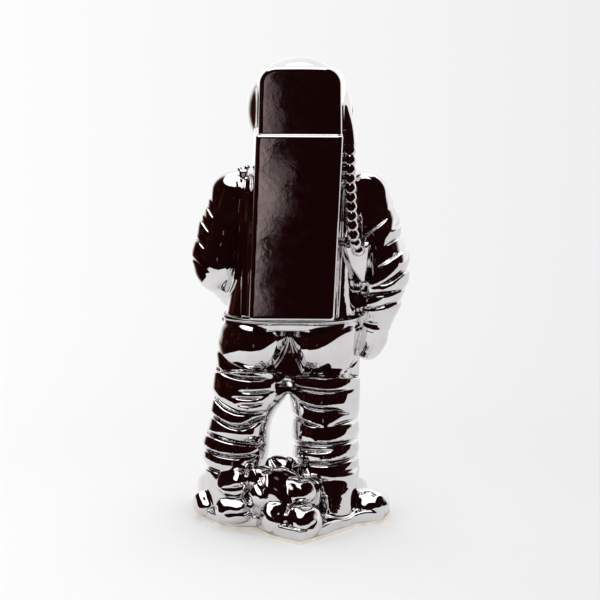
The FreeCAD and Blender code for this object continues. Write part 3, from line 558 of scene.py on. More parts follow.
def l_label(X, Y, Z):
    out = np.zeros(X.shape, int)
    out[Z < 72.5 - 5.0 * (l_rows.ang(X, Y, Z) - 0.0) * (np.abs(l_rows.ang(X, Y, Z)) < 2.6) * 0.6] = 1
    out[Z > 128] = 2
    return out


def r_label(X, Y, Z):
    out = np.zeros(X.shape, int)
    out[Z > 128] = 1
    return out


add(["left_trouser_leg", "left_boot", "pelvis"], (2, -33, 10), (82, 34, 172), l_leg, 2.4, l_label)
add(["right_trouser_leg", "pelvis"], (-53, -33, 37), (13, 34, 172), r_leg, 2.4, r_label)
add(["left_boot"], (18, -60, 9), (98, 35, 48), lambda X, Y, Z: foot_f((49, 22), (71, -47), 40.0, 31.0, X, Y, Z), 3.0)
add(["right_boot"], (-62, -60, 9), (2, 36, 46),
    lambda X, Y, Z: smin(foot_f((-25, 27), (-37.5, -47), 38.0, 27.0, X, Y, Z, 0.12),
                         smax(np.sqrt((X + 26) ** 2 + (Y - 5) ** 2) - 22.0, np.maximum(Z - 44, 9 - Z), 3.0), 3.0), 2.2)
# seat between the legs
add(["pelvis"], (-30, -26, 112), (45, 24, 172),
    lambda X, Y, Z: smax(ellipsoid(X, Y, Z, (7.5, -8, 152), (42, 18, 34)), Z - 171, 2.0), 3.0)


def gusset_f(X, Y, Z):
    """Cloth that closes the fork of the trousers, under the seat."""
    back = Y - 9.0 - 0.10 * (150.0 - Z)
    arch = 114.5 + 0.035 * (X - 7.0) ** 2 - Z
    return smax(smax(back, arch, 6.0), smax(np.abs(X - 7.0) - 15.0, np.maximum(Z - 151.0, -14.0 - Y), 2.0), 2.0)


add(["pelvis"], (-12, -16, 110), (26, 14, 153), gusset_f, 1.6)


def low(Z, zc=149.0, by=0.7):
    return np.where(Z < zc, zc + (Z - zc) * by, Z)


add(["pelvis"], (5, -16, 116), (63, 36, 172),
    lambda X, Y, Z: L_SEAT.add(ellipsoid(X, Y, low(Z), (34.5, 9.5, 149.0), (27.5, 24.5, 24)), X, Y, Z), 1.6)
add(["pelvis"], (-40, -16, 116), (9, 36, 172),
    lambda X, Y, Z: R_SEAT.add(ellipsoid(X, Y, low(Z), (-16.0, 9.5, 149.0), (23.0, 24.5, 24)), X, Y, Z), 1.6)


# ---------------------------------------------------------------- torso and hem
def torso_f(X, Y, Z):
    f = torso_rows.f(X, Y, Z)
    # soft pull folds of the jacket, front and sides
    th = torso_rows.ang(X, Y, Z)
    for z0, slope, a0, aw, d in ((196, 9, -0.9, 0.7, 1.6), (214, 8, -0.8, 0.7, 1.5), (181, 8, -1.0, 0.8, 1.6),
                                 (198, -9, -2.2, 0.7, 1.6), (216, -8, -2.3, 0.7, 1.5), (182, -8, -2.1, 0.8, 1.6)):
        u = wrap(th - a0)
        f = f + crease(Z - z0 - slope * u, u, aw, d, 3.4)
    f = f + folds_on_back(TUCK, X, Y, Z, 2.0, 9.0)
    return smax(smax(f, Z - 291, 5), 161.5 - Z, 1.0)


add(["torso"], (-58, -37, 161), (62, 37, 291), torso_f, 2.6)


GUSSET = [(-0.12, 0.909, -0.40, -0.12 * -46 + 0.909 * 24 - 0.40 * 214),
          (-0.996, 0.0, -0.09, 0.996 * 54 - 0.09 * 214), (-0.78, 0.0, -0.62, 0.78 * 53 - 0.62 * 198.2),
          (0.85, 0.0, -0.53, 0.85 * -45.6 - 0.53 * 203.8), (0.97, 0.0, -0.24, 0.97 * -38.5 - 0.24 * 220),
          (0.0, 0.0, 1.0, 230.0), (0.0, -1.0, 0.0, 4.0)]
add(["torso"], (-58, -4, 192), (-33, 33, 231), lambda X, Y, Z: planes(X, Y, Z, GUSSET, 2.2), 1.6, pad=3)


def hem_f(X, Y, Z):
    f = torso_rows.f(X, Y, Z) - 3.2 - 0.3 * np.sin(torso_rows.ang(X, Y, Z) * 5.0)
    f = f + 0.46 * np.maximum(169.5 - Z, 0.0) * ss(0.0, 8.0, Y)
    f = f + 0.55 * np.exp(-((Z - 167.6 + 0.03 * np.abs(X - 4)) / 0.7) ** 2) * ss(0.0, 8.0, Y)
    return smax(f, np.abs(Z - 166.0) - 4.0, 2.4)


add(["jacket_hem"], (-54, -36, 161), (66, 37, 171), hem_f, 1.4)


# ---------------------------------------------------------------- arms
def arm_creases(X, Y, Z, items):
    """Folds on planes: point, normal, the direction along the fold, half length, depth, width."""
    out = 0.0
    for p, n, a, half, depth, w in items:
        n = np.array(n, float)
        n /= np.linalg.norm(n)
        a = np.array(a, float)
        a -= n * (a @ n)
        a /= np.linalg.norm(a)
        b = np.cross(n, a)
        s = (X - p[0]) * n[0] + (Y - p[1]) * n[1] + (Z - p[2]) * n[2]
        u = (X - p[0]) * a[0] + (Y - p[1]) * a[1] + (Z - p[2]) * a[2]
        out = out + crease(s, u, half, depth, w)
    return out


# front and inner folds of the sleeves: point, normal, run, half length, depth, width
L_ARM_FOLDS = [
    ((64, -20, 224), (0.1, -0.5, 0.86), (1, 0, 0), 22, 2.2, 3.2),
    ((62, -24, 210), (0.1, -0.75, 0.65), (1, 0, 0), 20, 2.4, 3.0),
    ((60, -27, 198), (0.1, -0.95, 0.3), (1, 0, 0.3), 20, 2.2, 3.0),
]
R_ARM_FOLDS = [
    ((-62, -18, 226), (-0.3, 0.1, 0.95), (1, 0, 0.3), 20, 2.4, 3.2),
    ((-62, -18, 210), (-0.2, 0.1, 0.97), (1, 0, 0.2), 20, 2.6, 3.2),
    ((-62, -18, 194), (-0.1, 0.1, 0.98), (1, 0, 0.1), 20, 2.4, 3.2),
    ((-60, -18, 180), (-0.1, 0.1, 0.98), (1, 0, 0.1), 18, 2.0, 3.0),
]


def l_sleeve(X, Y, Z):
    f = chain(X, Y, Z, L_ARM, 6.0)
    f = smin(f, chain(X, Y, Z, L_FORE, 4.0), 5.0)
    return f + arm_creases(X, Y, Z, L_ARM_FOLDS) * ss(-3.0, -9.0, Y) + folds_on_back(L_ARM_BACK, X, Y, Z)


def r_sleeve(X, Y, Z):
    f = chain(X, Y, Z, R_ARM + R_FORE[1:], 6.0)
    f = f + arm_creases(X, Y, Z, R_ARM_FOLDS) * ss(-3.0, -9.0, Y) + folds_on_back(R_ARM_BACK, X, Y, Z)
    f = f + folds_on_back(TUCK, X, Y, Z, 2.0, 9.0) * ss(-59.0, -53.0, X)
    f = smax(f, (Y - 18.6 + 0.37 * (Z - 255)) * 0.938, 3.0)
    return smax(f, (163.5 - Z) * 0.97 + 0.12 * (X + 60), 2.4)


def l_sleeve_label(X, Y, Z):
    out = np.zeros(X.shape, int)
    # below and in front of the fold line at the elbow
    out[(Z - 212) + 0.6 * (Y - 3) * (Y > 3) - 0.9 * (3 - Y) * (Y < 3) * 0 - 0.2 * (X - 64) < 0] = 1
    return out


def r_sleeve_label(X, Y, Z):
    out = np.zeros(X.shape, int)
    out[Z < 214] = 1
    return out


lo, hi = box_of(L_ARM + L_FORE)
add(["left_upper_sleeve", "left_forearm_sleeve"], lo, hi, l_sleeve, 3.0, l_sleeve_label)
lo, hi = box_of(R_ARM + R_FORE)
add(["right_upper_sleeve", "right_forearm_sleeve"], lo, hi, r_sleeve, 3.0, r_sleeve_label)


def slab_cut(X, Y, Z, a, b, over=1.2):
    """Keeps what lies between the end planes of a short segment."""
    d = np.array(b, float) - np.array(a, float)
    L = np.linalg.norm(d)
    d /= L
    s = (X - a[0]) * d[0] + (Y - a[1]) * d[1] + (Z - a[2]) * d[2]
    return np.maximum(-s - over, s - L - over)


def cuff_f(path):
    def f(X, Y, Z):
        (a, ra), (b, rb) = path
        v = chain(X, Y, Z, path)
        return smax(v, slab_cut(X, Y, Z, a, b, 1.0), 2.0)
    return f


def hand_f(path, thumb, sep, n_fing, flat):
    def f(X, Y, Z):
        v = chain(X, Y, Z, path, 5.0)
        v = smin(v, chain(X, Y, Z, thumb, 3.0), 2.4)
        # shallow grooves between the fingers
        a = np.array(path[0][0], float)
        b = np.array(path[-1][0], float)
        d = (b - a) / np.linalg.norm(b - a)
        s = (X - a[0]) * d[0] + (Y - a[1]) * d[1] + (Z - a[2]) * d[2]
        m = np.array(sep, float)
        m -= d * (m @ d)
        m /= np.linalg.norm(m)
        w = (X - a[0]) * m[0] + (Y - a[1]) * m[1] + (Z - a[2]) * m[2]
        on = ss(8.0, 12.0, s)
        for off in (-5.4, 0.0, 5.4):
            v = v + on * 0.9 * np.exp(-((w - off) / 0.9) ** 2)
        return v
    return f


for side, cuff, hand, thumb, sep in (("left", L_CUFF, L_HAND, L_THUMB, (0.4, 0, 1.0)), ("right", R_CUFF, R_HAND, R_THUMB, (0, 1, 0.0))):
    lo, hi = box_of(cuff)
    add([side + "_cuff"], lo, hi, cuff_f(cuff), 1.2)
    lo, hi = box_of(hand + thumb)
    add([side + "_glove"], lo, hi, hand_f(hand, thumb, sep, 4, 1.0), 1.4)


# ---------------------------------------------------------------- helmet and neck
hx, hy, hz = HELMET_C


def helmet_f(X, Y, Z):
    f = ball(X, Y, Z, HELMET_C, HELMET_R)
    # recess line round the visor
    u, w = np.abs(X - hx) - 33.0, np.abs(Z - 330.5) - 23.5
    fr = np.sqrt(np.maximum(u + 15, 0) ** 2 + np.maximum(w + 15, 0) ** 2) + np.minimum(np.maximum(u + 15, w + 15), 0) - 15
    f = f + np.where(Y < hy, 1.3 * np.exp(-(fr / 1.3) ** 2), 0.0)
    f = f - np.where(Y < hy, 1.2 * np.exp(-((fr - 4.2) / 2.2) ** 2), 0.0)
    return smax(f, 297.0 - Z, 1.5)


def visor_f(X, Y, Z):
    f = ball(X, Y, Z, HELMET_C, 43.2)
    u, w = np.abs(X - hx) - 31.5, np.abs(Z - 330.5) - 22.0
    fr = np.sqrt(np.maximum(u + 15, 0) ** 2 + np.maximum(w + 15, 0) ** 2) + np.minimum(np.maximum(u + 15, w + 15), 0) - 15
    return smax(smax(f, fr, 1.6), Y - (hy - 6), 1.0)


add(["helmet_shell"], (hx - 43, hy - 43, 297), (hx + 43, hy + 43, 373), helmet_f, 1.6)
add(["visor"], (hx - 32, hy - 44, 307), (hx + 32, hy - 5, 354), visor_f, 0.5)


def neck_f(X, Y, Z):
    d = np.sqrt((X - hx) ** 2 + (Y - hy - 2) ** 2)
    f = smax(d - 28.0, np.abs(Z - 294) - 5.5, 2.0)
    g = smin(np.sqrt((d - 27.6) ** 2 + (Z - 291.2) ** 2) - 2.4, np.sqrt((d - 27.6) ** 2 + (Z - 296.6) ** 2) - 2.4, 0.8)
    return smin(f, g, 1.0)


add(["neck_ring"], (hx - 32, hy - 30, 288), (hx + 32, hy + 34, 300), neck_f, 1.2)


COVER_R, COVER_FWD = 7.0, math.radians(25.0)


def cover_f(sx):
    ax, ay = sx * math.cos(COVER_FWD), -math.sin(COVER_FWD)

    def f(X, Y, Z):
        dx, dy, dz = X - hx, Y - hy, Z - (hz - 2)
        s = dx * ax + dy * ay
        d = np.sqrt(np.maximum((dx - s * ax) ** 2 + (dy - s * ay) ** 2 + dz * dz, 1e-9))
        f = smax(d - COVER_R, np.abs(s - (HELMET_R - 0.6)) - 2.4, 1.2)
        return f + 0.6 * np.exp(-((d - 4.0) / 0.8) ** 2)
    return f


for side, sx in (("left", 1), ("right", -1)):
    cx, cy = hx + sx * HELMET_R * math.cos(COVER_FWD), hy - HELMET_R * math.sin(COVER_FWD)
    add(["helmet_cover_" + side], (cx - 6, cy - 8, hz - 10), (cx + 6, cy + 8, hz + 6), cover_f(sx), 0.9)

# ---------------------------------------------------------------- back pack
pack_pl = frustum_planes(PACK_FRONT, PACK_REAR, *PACK_Y)
top_pl = frustum_planes(TOP_FRONT, TOP_REAR, *TOP_Y)


def pack_f(X, Y, Z):
    f = planes(X, Y, Z, pack_pl[:1] + pack_pl[2:], 3.4)
    nx, ny, nz, d = pack_pl[1]
    return smax(f, nx * X + ny * Y + nz * Z - d, 2.0)


def top_f(X, Y, Z):
    # rounded upper corners: the two corner planes are blended with a large radius
    n = top_pl
    fr = n[0][0] * X + n[0][1] * Y + n[0][2] * Z - n[0][3]
    up = n[1][0] * X + n[1][1] * Y + n[1][2] * Z - n[1][3] + 0.0009 * (X + 3.3) ** 2 - 0.4
    sr = n[2][0] * X + n[2][1] * Y + n[2][2] * Z - n[2][3]
    dn = n[3][0] * X + n[3][1] * Y + n[3][2] * Z - n[3][3]
    sl = n[4][0] * X + n[4][1] * Y + n[4][2] * Z - n[4][3]
    c1 = np.maximum(up + 12, 0)
    prof = np.sqrt(c1 ** 2 + np.maximum(sr + 12, 0) ** 2) - 12
    prof2 = np.sqrt(c1 ** 2 + np.maximum(sl + 12, 0) ** 2) - 12
    prof = np.maximum(np.maximum(prof, prof2), np.maximum(np.maximum(up, sr), sl))
    return smax(smax(smax(prof, fr, 3.4), dn - 1.2, 0.9), TOP_Y[0] - Y, 1.0)


add(["backpack_lower"], (-46, 22, 169), (45, 61, 323), pack_f, 1.4)
add(["backpack_upper"], (-45, 12, 319), (40, 57, 371.5), top_f, 1.4)


# ---------------------------------------------------------------- hose
def smooth_path(pts, n=140):
    """Catmull-Rom points along a path, evenly spaced."""
    p = np.array(pts, float)
    p = np.vstack([2 * p[0] - p[1], p, 2 * p[-1] - p[-2]])
    out = []
    for i in range(1, len(p) - 2):
        for t in np.linspace(0, 1, 40, endpoint=False):
            a, b, c, d = p[i - 1], p[i], p[i + 1], p[i + 2]
            out.append(0.5 * ((2 * b) + (-a + c) * t + (2 * a - 5 * b + 4 * c - d) * t ** 2 + (-a + 3 * b - 3 * c + d) * t ** 3))
    out.append(p[-2])
    out = np.array(out)
    s = np.concatenate([[0], np.cumsum(np.linalg.norm(np.diff(out, axis=0), axis=1))])
    q = np.linspace(0, s[-1], n)
    return np.stack([np.interp(q, s, out[:, i]) for i in range(3)], 1), s[-1]


def tube_f(path, r, groove, pitch, s0=0.0, segs=26):
    pts, L = smooth_path(path, segs)
    step = L / (segs - 1)

    def f(X, Y, Z):
        best = bests = None
        for i in range(segs - 1):
            d, t = seg(X, Y, Z, pts[i], pts[i + 1])
            s = (i + t) * step
            if best is None:
                best, bests = d + 0.0 * s, s + 0.0 * d
            else:
                m = d < best
                best = np.where(m, d, best)
                bests = np.where(m, s, bests)
        rib = np.abs(np.sin(math.pi * bests / pitch)) ** 0.75
        on = ss(s0 - 2, s0 + 2, bests) if s0 > 0 else 1.0
        return best - (r - groove * (1 - rib) * on)
    return f


lo = np.min(np.array(HOSE_PATH), 0) - HOSE_R
hi = np.max(np.array(HOSE_PATH), 0) + HOSE_R
add(["breathing_hose"], lo, hi, tube_f(HOSE_PATH, HOSE_R, HOSE_GROOVE, HOSE_PITCH, 30.0), 1.4)


# ---------------------------------------------------------------- straps, buckle, chest set
def strap_f(xc, w, t, z0, z1, back, slope=0.0):
    def f(X, Y, Z):
        body = torso_rows.f(X, Y, Z)
        x = np.abs(X - xc - slope * (Z - z0)) - w / 2
        v = smax(body - t, x, 1.2)
        # raised edges of the webbing
        v = v - 0.35 * np.exp(-((x + 0.9) / 0.7) ** 2)
        v = smax(v, np.maximum(z0 - Z, Z - z1), 2.0)
        return smax(v, (8 - Y) if back else (Y + 2), 1.0)
    return f


add(["back_strap"], (34, 6, 170), (49, 37, 281), strap_f(42.3, 6.5, 2.0, 171, 280, True, -0.02), 0.8, pad=3)
add(["harness_strap_left"], (25, -37, 200), (37, 0, 292), strap_f(31, 8, 2.0, 201, 291, False), 0.8, pad=3)
add(["harness_strap_right"], (-37, -37, 200), (-25, 0, 292), strap_f(-31, 8, 2.0, 201, 291, False), 0.8, pad=3)


def rbox(X, Y, Z, c, h, r):
    u = np.abs(X - c[0]) - h[0] + r
    v = np.abs(Y - c[1]) - h[1] + r
    w = np.abs(Z - c[2]) - h[2] + r
    return np.sqrt(np.maximum(u, 0) ** 2 + np.maximum(v, 0) ** 2 + np.maximum(w, 0) ** 2) + np.minimum(np.maximum(np.maximum(u, v), w), 0) - r


def buckle_f(X, Y, Z):
    f = rbox(X, Y, Z, (43.6, 7.5, 281.5), (3.4, 4.2, 4.0), 1.6)
    f = smin(f, ball(X, Y, Z, (41.0, 8.0, 287.0), 2.4), 1.4)
    return smin(f, ball(X, Y, Z, (46.8, 8.0, 285.8), 1.9), 1.4)


add(["shoulder_buckle"], (37, 2, 277), (51, 14, 291), buckle_f, 1.0, pad=3)


def chest_f(X, Y, Z):
    f = rbox(X, Y, Z, (3, -39.0, 238), (25, 11.0, 16), 3.2)
    f = f + 0.9 * np.exp(-(((np.abs(X - 3) - 19.5) / 0.8) ** 2)) * (np.abs(Z - 238) < 10.5) * (Y < -45)
    for dx, dz, r in ((-12, 5, 3.2), (-2, 5, 3.2), (10, 5, 3.6), (-12, -6, 2.4), (-5, -6, 2.4), (2, -6, 2.4)):
        d = np.sqrt((X - 3 - dx) ** 2 + (Z - 238 - dz) ** 2)
        f = smin(f, smax(d - r, np.abs(Y + 50.3) - 1.3, 0.8), 0.5)
    return f


add(["chest_control_box"], (-23, -52, 221), (29, -27, 255), chest_f, 1.4, pad=3)


def conn_f(X, Y, Z):
    out = None
    for x, z in ((20, 206), (-15, 206), (22, 188), (-17, 188)):
        d = np.sqrt((X - x) ** 2 + (Z - z) ** 2)
        f = smax(d - 5.4, -38.4 - Y, 1.2)
        f = smax(f, Y + 25, 1.0)
        f = smin(f, np.sqrt((d - 5.6) ** 2 + (Y + 33.6) ** 2) - 1.2, 0.6)
        f = f + 0.9 * np.exp(-(d / 2.2) ** 2) * (Y < -35)
        out = f if out is None else np.minimum(out, f)
    return out


add(["hose_connectors"], (-24, -40, 181), (29, -24, 213), conn_f, 1.0, pad=3)

# ---------------------------------------------------------------- evaluate on a grid
LO = np.min([d["lo"] for d in FIELDS], axis=0) - 2
HI = np.max([d["hi"] for d in FIELDS], axis=0) + 2
LO[2] = 0.0
LO[1] = PACK_Y[1] - H * (math.ceil((PACK_Y[1] - LO[1]) / H) + 0.5)
NX, NY, NZ = [int(math.ceil((HI[i] - LO[i]) / H)) + 1 for i in range(3)]
gx = (LO[0] + H * np.arange(NX)).astype(np.float32)
gy = (LO[1] + H * np.arange(NY)).astype(np.float32)
gz = (LO[2] + H * np.arange(NZ)).astype(np.float32)
grid = np.full((NX, NY, NZ), 9.0, np.float32)


def ripple(X, Y, Z):
    """Uneven glaze and hand-finished clay."""
    a = np.sin(X * 0.78 + 1.3 * np.sin(Z * 0.23)) * np.sin(Y * 0.71 + 0.9) * np.sin(Z * 0.69 + 0.4)
    b = np.sin(X * 2.1 + 0.5) * np.sin(Y * 1.9 + 2.0 * np.sin(Z * 0.4)) * np.sin(Z * 2.2)
    quiet = 1.0 - 0.93 * ss(21.0, 25.0, Y) * ss(168.0, 174.0, Z)
    return (0.018 * a + 0.004 * b) * quiet


for d in FIELDS:
    i0 = [int(max(0, math.floor((d["lo"][i] - LO[i]) / H))) for i in range(3)]
    i1 = [int(min((NX, NY, NZ)[i], math.ceil((d["hi"][i] - LO[i]) / H) + 1)) for i in range(3)]
    X = gx[i0[0]:i1[0]][:, None, None]
    Y = gy[i0[1]:i1[1]][None, :, None]
    Z = gz[i0[2]:i1[2]][None, None, :]
    v = d["f"](X, Y, Z)
    sub = grid[i0[0]:i1[0], i0[1]:i1[1], i0[2]:i1[2]]
    sub[...] = smin(sub, np.broadcast_to(v, sub.shape).astype(np.float32), d["k"])
print("grid", grid.shape, "%.1f s" % (time.time() - T0))


def evaluate(P, want=False):
    """Field at scattered points. With want, also the index of the field that is nearest."""
    F = np.full(len(P), 9.0)
    best = np.full(len(P), 99.0)
    lab = np.full(len(P), -1)
    for n, d in enumerate(FIELDS):
        m = np.all((P >= d["lo"]) & (P <= d["hi"]), axis=1)
        idx = np.flatnonzero(m)
        if not len(idx):
            continue
        Q = P[idx]
        v = d["f"](Q[:, 0], Q[:, 1], Q[:, 2])
        F[idx] = smin(F[idx], v, d["k"])
        if want:
            w = v < best[idx]
            best[idx[w]] = v[w]
            lab[idx[w]] = n
    F = F + ripple(P[:, 0], P[:, 1], P[:, 2])
    return (F, lab) if want else F


def gradient(P, e=0.12):
    G = np.empty_like(P)
    for i in range(3):
        D = np.zeros(3)
        D[i] = e
        G[:, i] = (evaluate(P + D) - evaluate(P - D)) / (2 * e)
    return G


grid += ripple(gx[:, None, None], gy[None, :, None], gz[None, None, :]).astype(np.float32)

# ---------------------------------------------------------------- mesh: surface nets
S = grid < 0
cells = np.zeros((NX - 1, NY - 1, NZ - 1), np.uint8)
for a in (0, 1):
    for b in (0, 1):
        for c in (0, 1):
            cells += S[a:NX - 1 + a, b:NY - 1 + b, c:NZ - 1 + c]
active = (cells > 0) & (cells < 8)
ci = np.argwhere(active)
vid = np.full(active.shape, -1, np.int32)
vid[active] = np.arange(len(ci), dtype=np.int32)
corner = {}
for a in (0, 1):
    for b in (0, 1):
        for c in (0, 1):
            corner[(a, b, c)] = grid[ci[:, 0] + a, ci[:, 1] + b, ci[:, 2] + c].astype(np.float64)
acc = np.zeros((len(ci), 3))
cnt = np.zeros(len(ci))
for ax in range(3):
    o1, o2 = [i for i in range(3) if i != ax]
    for p in (0, 1):
        for q in (0, 1):
            k0 = [0, 0, 0]
            k0[o1], k0[o2] = p, q
            k1 = list(k0)
            k1[ax] = 1
            va, vb = corner[tuple(k0)], corner[tuple(k1)]
            m = (va < 0) != (vb < 0)
            t = np.where(m, va / np.where(m, va - vb, 1.0), 0.0)
            pos = np.zeros((len(ci), 3))
            pos[:, o1], pos[:, o2], pos[:, ax] = p, q, t
            acc += np.where(m[:, None], pos, 0.0)
            cnt += m
VERT = (ci + acc / cnt[:, None]) * H + LO
quads = []
for ax in range(3):
    o1, o2 = (ax + 1) % 3, (ax + 2) % 3
    sl0 = [slice(None)] * 3
    sl1 = [slice(None)] * 3
    sl0[ax], sl1[ax] = slice(0, -1), slice(1, None)
    A, B = S[tuple(sl0)], S[tuple(sl1)]
    e = np.argwhere(A != B)
    e = e[(e[:, o1] > 0) & (e[:, o2] > 0) & (e[:, o1] < cells.shape[o1]) & (e[:, o2] < cells.shape[o2])]
    inside = A[e[:, 0], e[:, 1], e[:, 2]]
    ring4 = []
    for p, q in ((-1, -1), (0, -1), (0, 0), (-1, 0)):
        k = e.copy()
        k[:, o1] += p
        k[:, o2] += q
        ring4.append(vid[k[:, 0], k[:, 1], k[:, 2]])
    Q = np.stack(ring4, 1)
    Q[~inside] = Q[~inside][:, ::-1]
    quads.append(Q)
QUAD = np.concatenate(quads)
QUAD = QUAD[(QUAD >= 0).all(axis=1)]
del S, cells, vid, corner, active
print("vertices", len(VERT), "faces", len(QUAD), "%.1f s" % (time.time() - T0))


# keep only what belongs to the one connected surface (drop sealed inner voids and crumbs)
def union(n, a, b):
    """Smallest index that each of n items is joined to by the pairs a, b."""
    p = np.arange(n)
    while True:
        pa, pb = p[a], p[b]
        m = pa != pb
        if not m.any():
            return p
        a, b, pa, pb = a[m], b[m], pa[m], pb[m]
        np.minimum.at(p, np.maximum(pa, pb), np.minimum(pa, pb))
        while True:
            q = p[p]
            if (q == p).all():
                break
            p = q


def components(n, Q):
    return union(n, np.concatenate([Q[:, 0], Q[:, 1], Q[:, 2]]), np.concatenate([Q[:, 1], Q[:, 2], Q[:, 3]]))


comp = components(len(VERT), QUAD)
ids, num = np.unique(comp, return_counts=True)
main_id = ids[np.argmax(num)]
keep_v = comp == main_id
print("components", len(ids), "largest", int(num.max()))
remap = np.cumsum(keep_v) - 1
QUAD = remap[QUAD[keep_v[QUAD[:, 0]]]]
VERT = VERT[keep_v]

# settle the vertices on the true surface
for it in range(2):
    G = gradient(VERT, 0.25)
    L2 = np.maximum((G * G).sum(1), 0.15)
    step = evaluate(VERT)[:, None] * G / L2[:, None]
    n = np.linalg.norm(step, axis=1)
    step *= np.minimum(1.0, 0.5 * H / np.maximum(n, 1e-9))[:, None]
    VERT -= step
print("projected %.1f s" % (time.time() - T0))

# ---------------------------------------------------------------- which piece owns what
NAMES = sorted({n for d in FIELDS for n in d["names"]})
INDEX = {n: i for i, n in enumerate(NAMES)}


def owner(P):
    F, lab = evaluate(P, True)
    out = np.full(len(P), -1)
    for n, d in enumerate(FIELDS):
        m = np.flatnonzero(lab == n)
        if not len(m):
            continue
        if d["label"] is None:
            out[m] = INDEX[d["names"][0]]
        else:
            Q = P[m]
            sub = d["label"](Q[:, 0], Q[:, 1], Q[:, 2])
            out[m] = np.array([INDEX[x] for x in d["names"]])[sub]
    return out


CENT = VERT[QUAD].mean(axis=1)
FLAB = owner(CENT)

# even out the piece borders: a face takes the piece that most of its neighbours have
for it in range(3):
    votes = np.zeros((len(VERT), len(NAMES)), np.float32)
    for i in range(4):
        np.add.at(votes, (QUAD[:, i], FLAB), 1.0)
    fv = votes[QUAD].sum(axis=1)
    fv[np.arange(len(QUAD)), FLAB] += 1.5
    FLAB = fv.argmax(axis=1)
del votes, fv

# faces that share an edge
E = np.concatenate([QUAD[:, [i, (i + 1) % 4]] for i in range(4)])
EF = np.tile(np.arange(len(QUAD)), 4)
Es = np.sort(E, axis=1)
code = Es[:, 0].astype(np.int64) * len(VERT) + Es[:, 1]
order = np.argsort(code, kind="stable")
cs, fs = code[order], EF[order]
same = cs[1:] == cs[:-1]
FA, FB = fs[1:][same], fs[:-1][same]
EDGE = Es[order][1:][same]
print("edges %.1f s" % (time.time() - T0))

# islands of a few faces go to the piece round them
m = FLAB[FA] == FLAB[FB]
isl = union(len(QUAD), FA[m], FB[m])
u, inv, c = np.unique(isl, return_inverse=True, return_counts=True)
small = c[inv] < 60
for it in range(30):
    if not small.any():
        break
    votes = np.zeros((len(VERT), len(NAMES)), np.float32)
    big = np.flatnonzero(~small)
    for i in range(4):
        np.add.at(votes, (QUAD[big, i], FLAB[big]), 1.0)
    sm = np.flatnonzero(small)
    fv = votes[QUAD[sm]].sum(axis=1)
    has = fv.max(axis=1) > 0
    FLAB[sm[has]] = fv[has].argmax(axis=1)
    small[sm[has]] = False
del votes
print("labelled %.1f s" % (time.time() - T0))

# smooth the border lines between pieces: border vertices relax along the border
VMIN = np.full(len(VERT), 10 ** 6)
VMAX = np.full(len(VERT), -1)
for i in range(4):
    np.minimum.at(VMIN, QUAD[:, i], FLAB)
    np.maximum.at(VMAX, QUAD[:, i], FLAB)
border = VMIN != VMAX
BE = EDGE[FLAB[FA] != FLAB[FB]]
for it in range(6):
    s = np.zeros_like(VERT)
    n = np.zeros(len(VERT))
    for a, b in ((0, 1), (1, 0)):
        np.add.at(s, BE[:, a], VERT[BE[:, b]])
        np.add.at(n, BE[:, a], 1.0)
    m = n == 2
    VERT[m] += 0.5 * (s[m] / n[m][:, None] - VERT[m])
    idx = np.flatnonzero(m)
    P = VERT[idx]
    G = gradient(P, 0.25)
    VERT[idx] = P - evaluate(P)[:, None] * G / np.maximum((G * G).sum(1), 0.15)[:, None]
NORM = gradient(VERT, 0.18)
NORM /= np.maximum(np.linalg.norm(NORM, axis=1), 1e-9)[:, None]
print("borders %.1f s" % (time.time() - T0))

# ---------------------------------------------------------------- materials
def node(nt, kind, **kw):
    n = nt.nodes.new(kind)
    for k, v in kw.items():
        setattr(n, k, v)
    return n


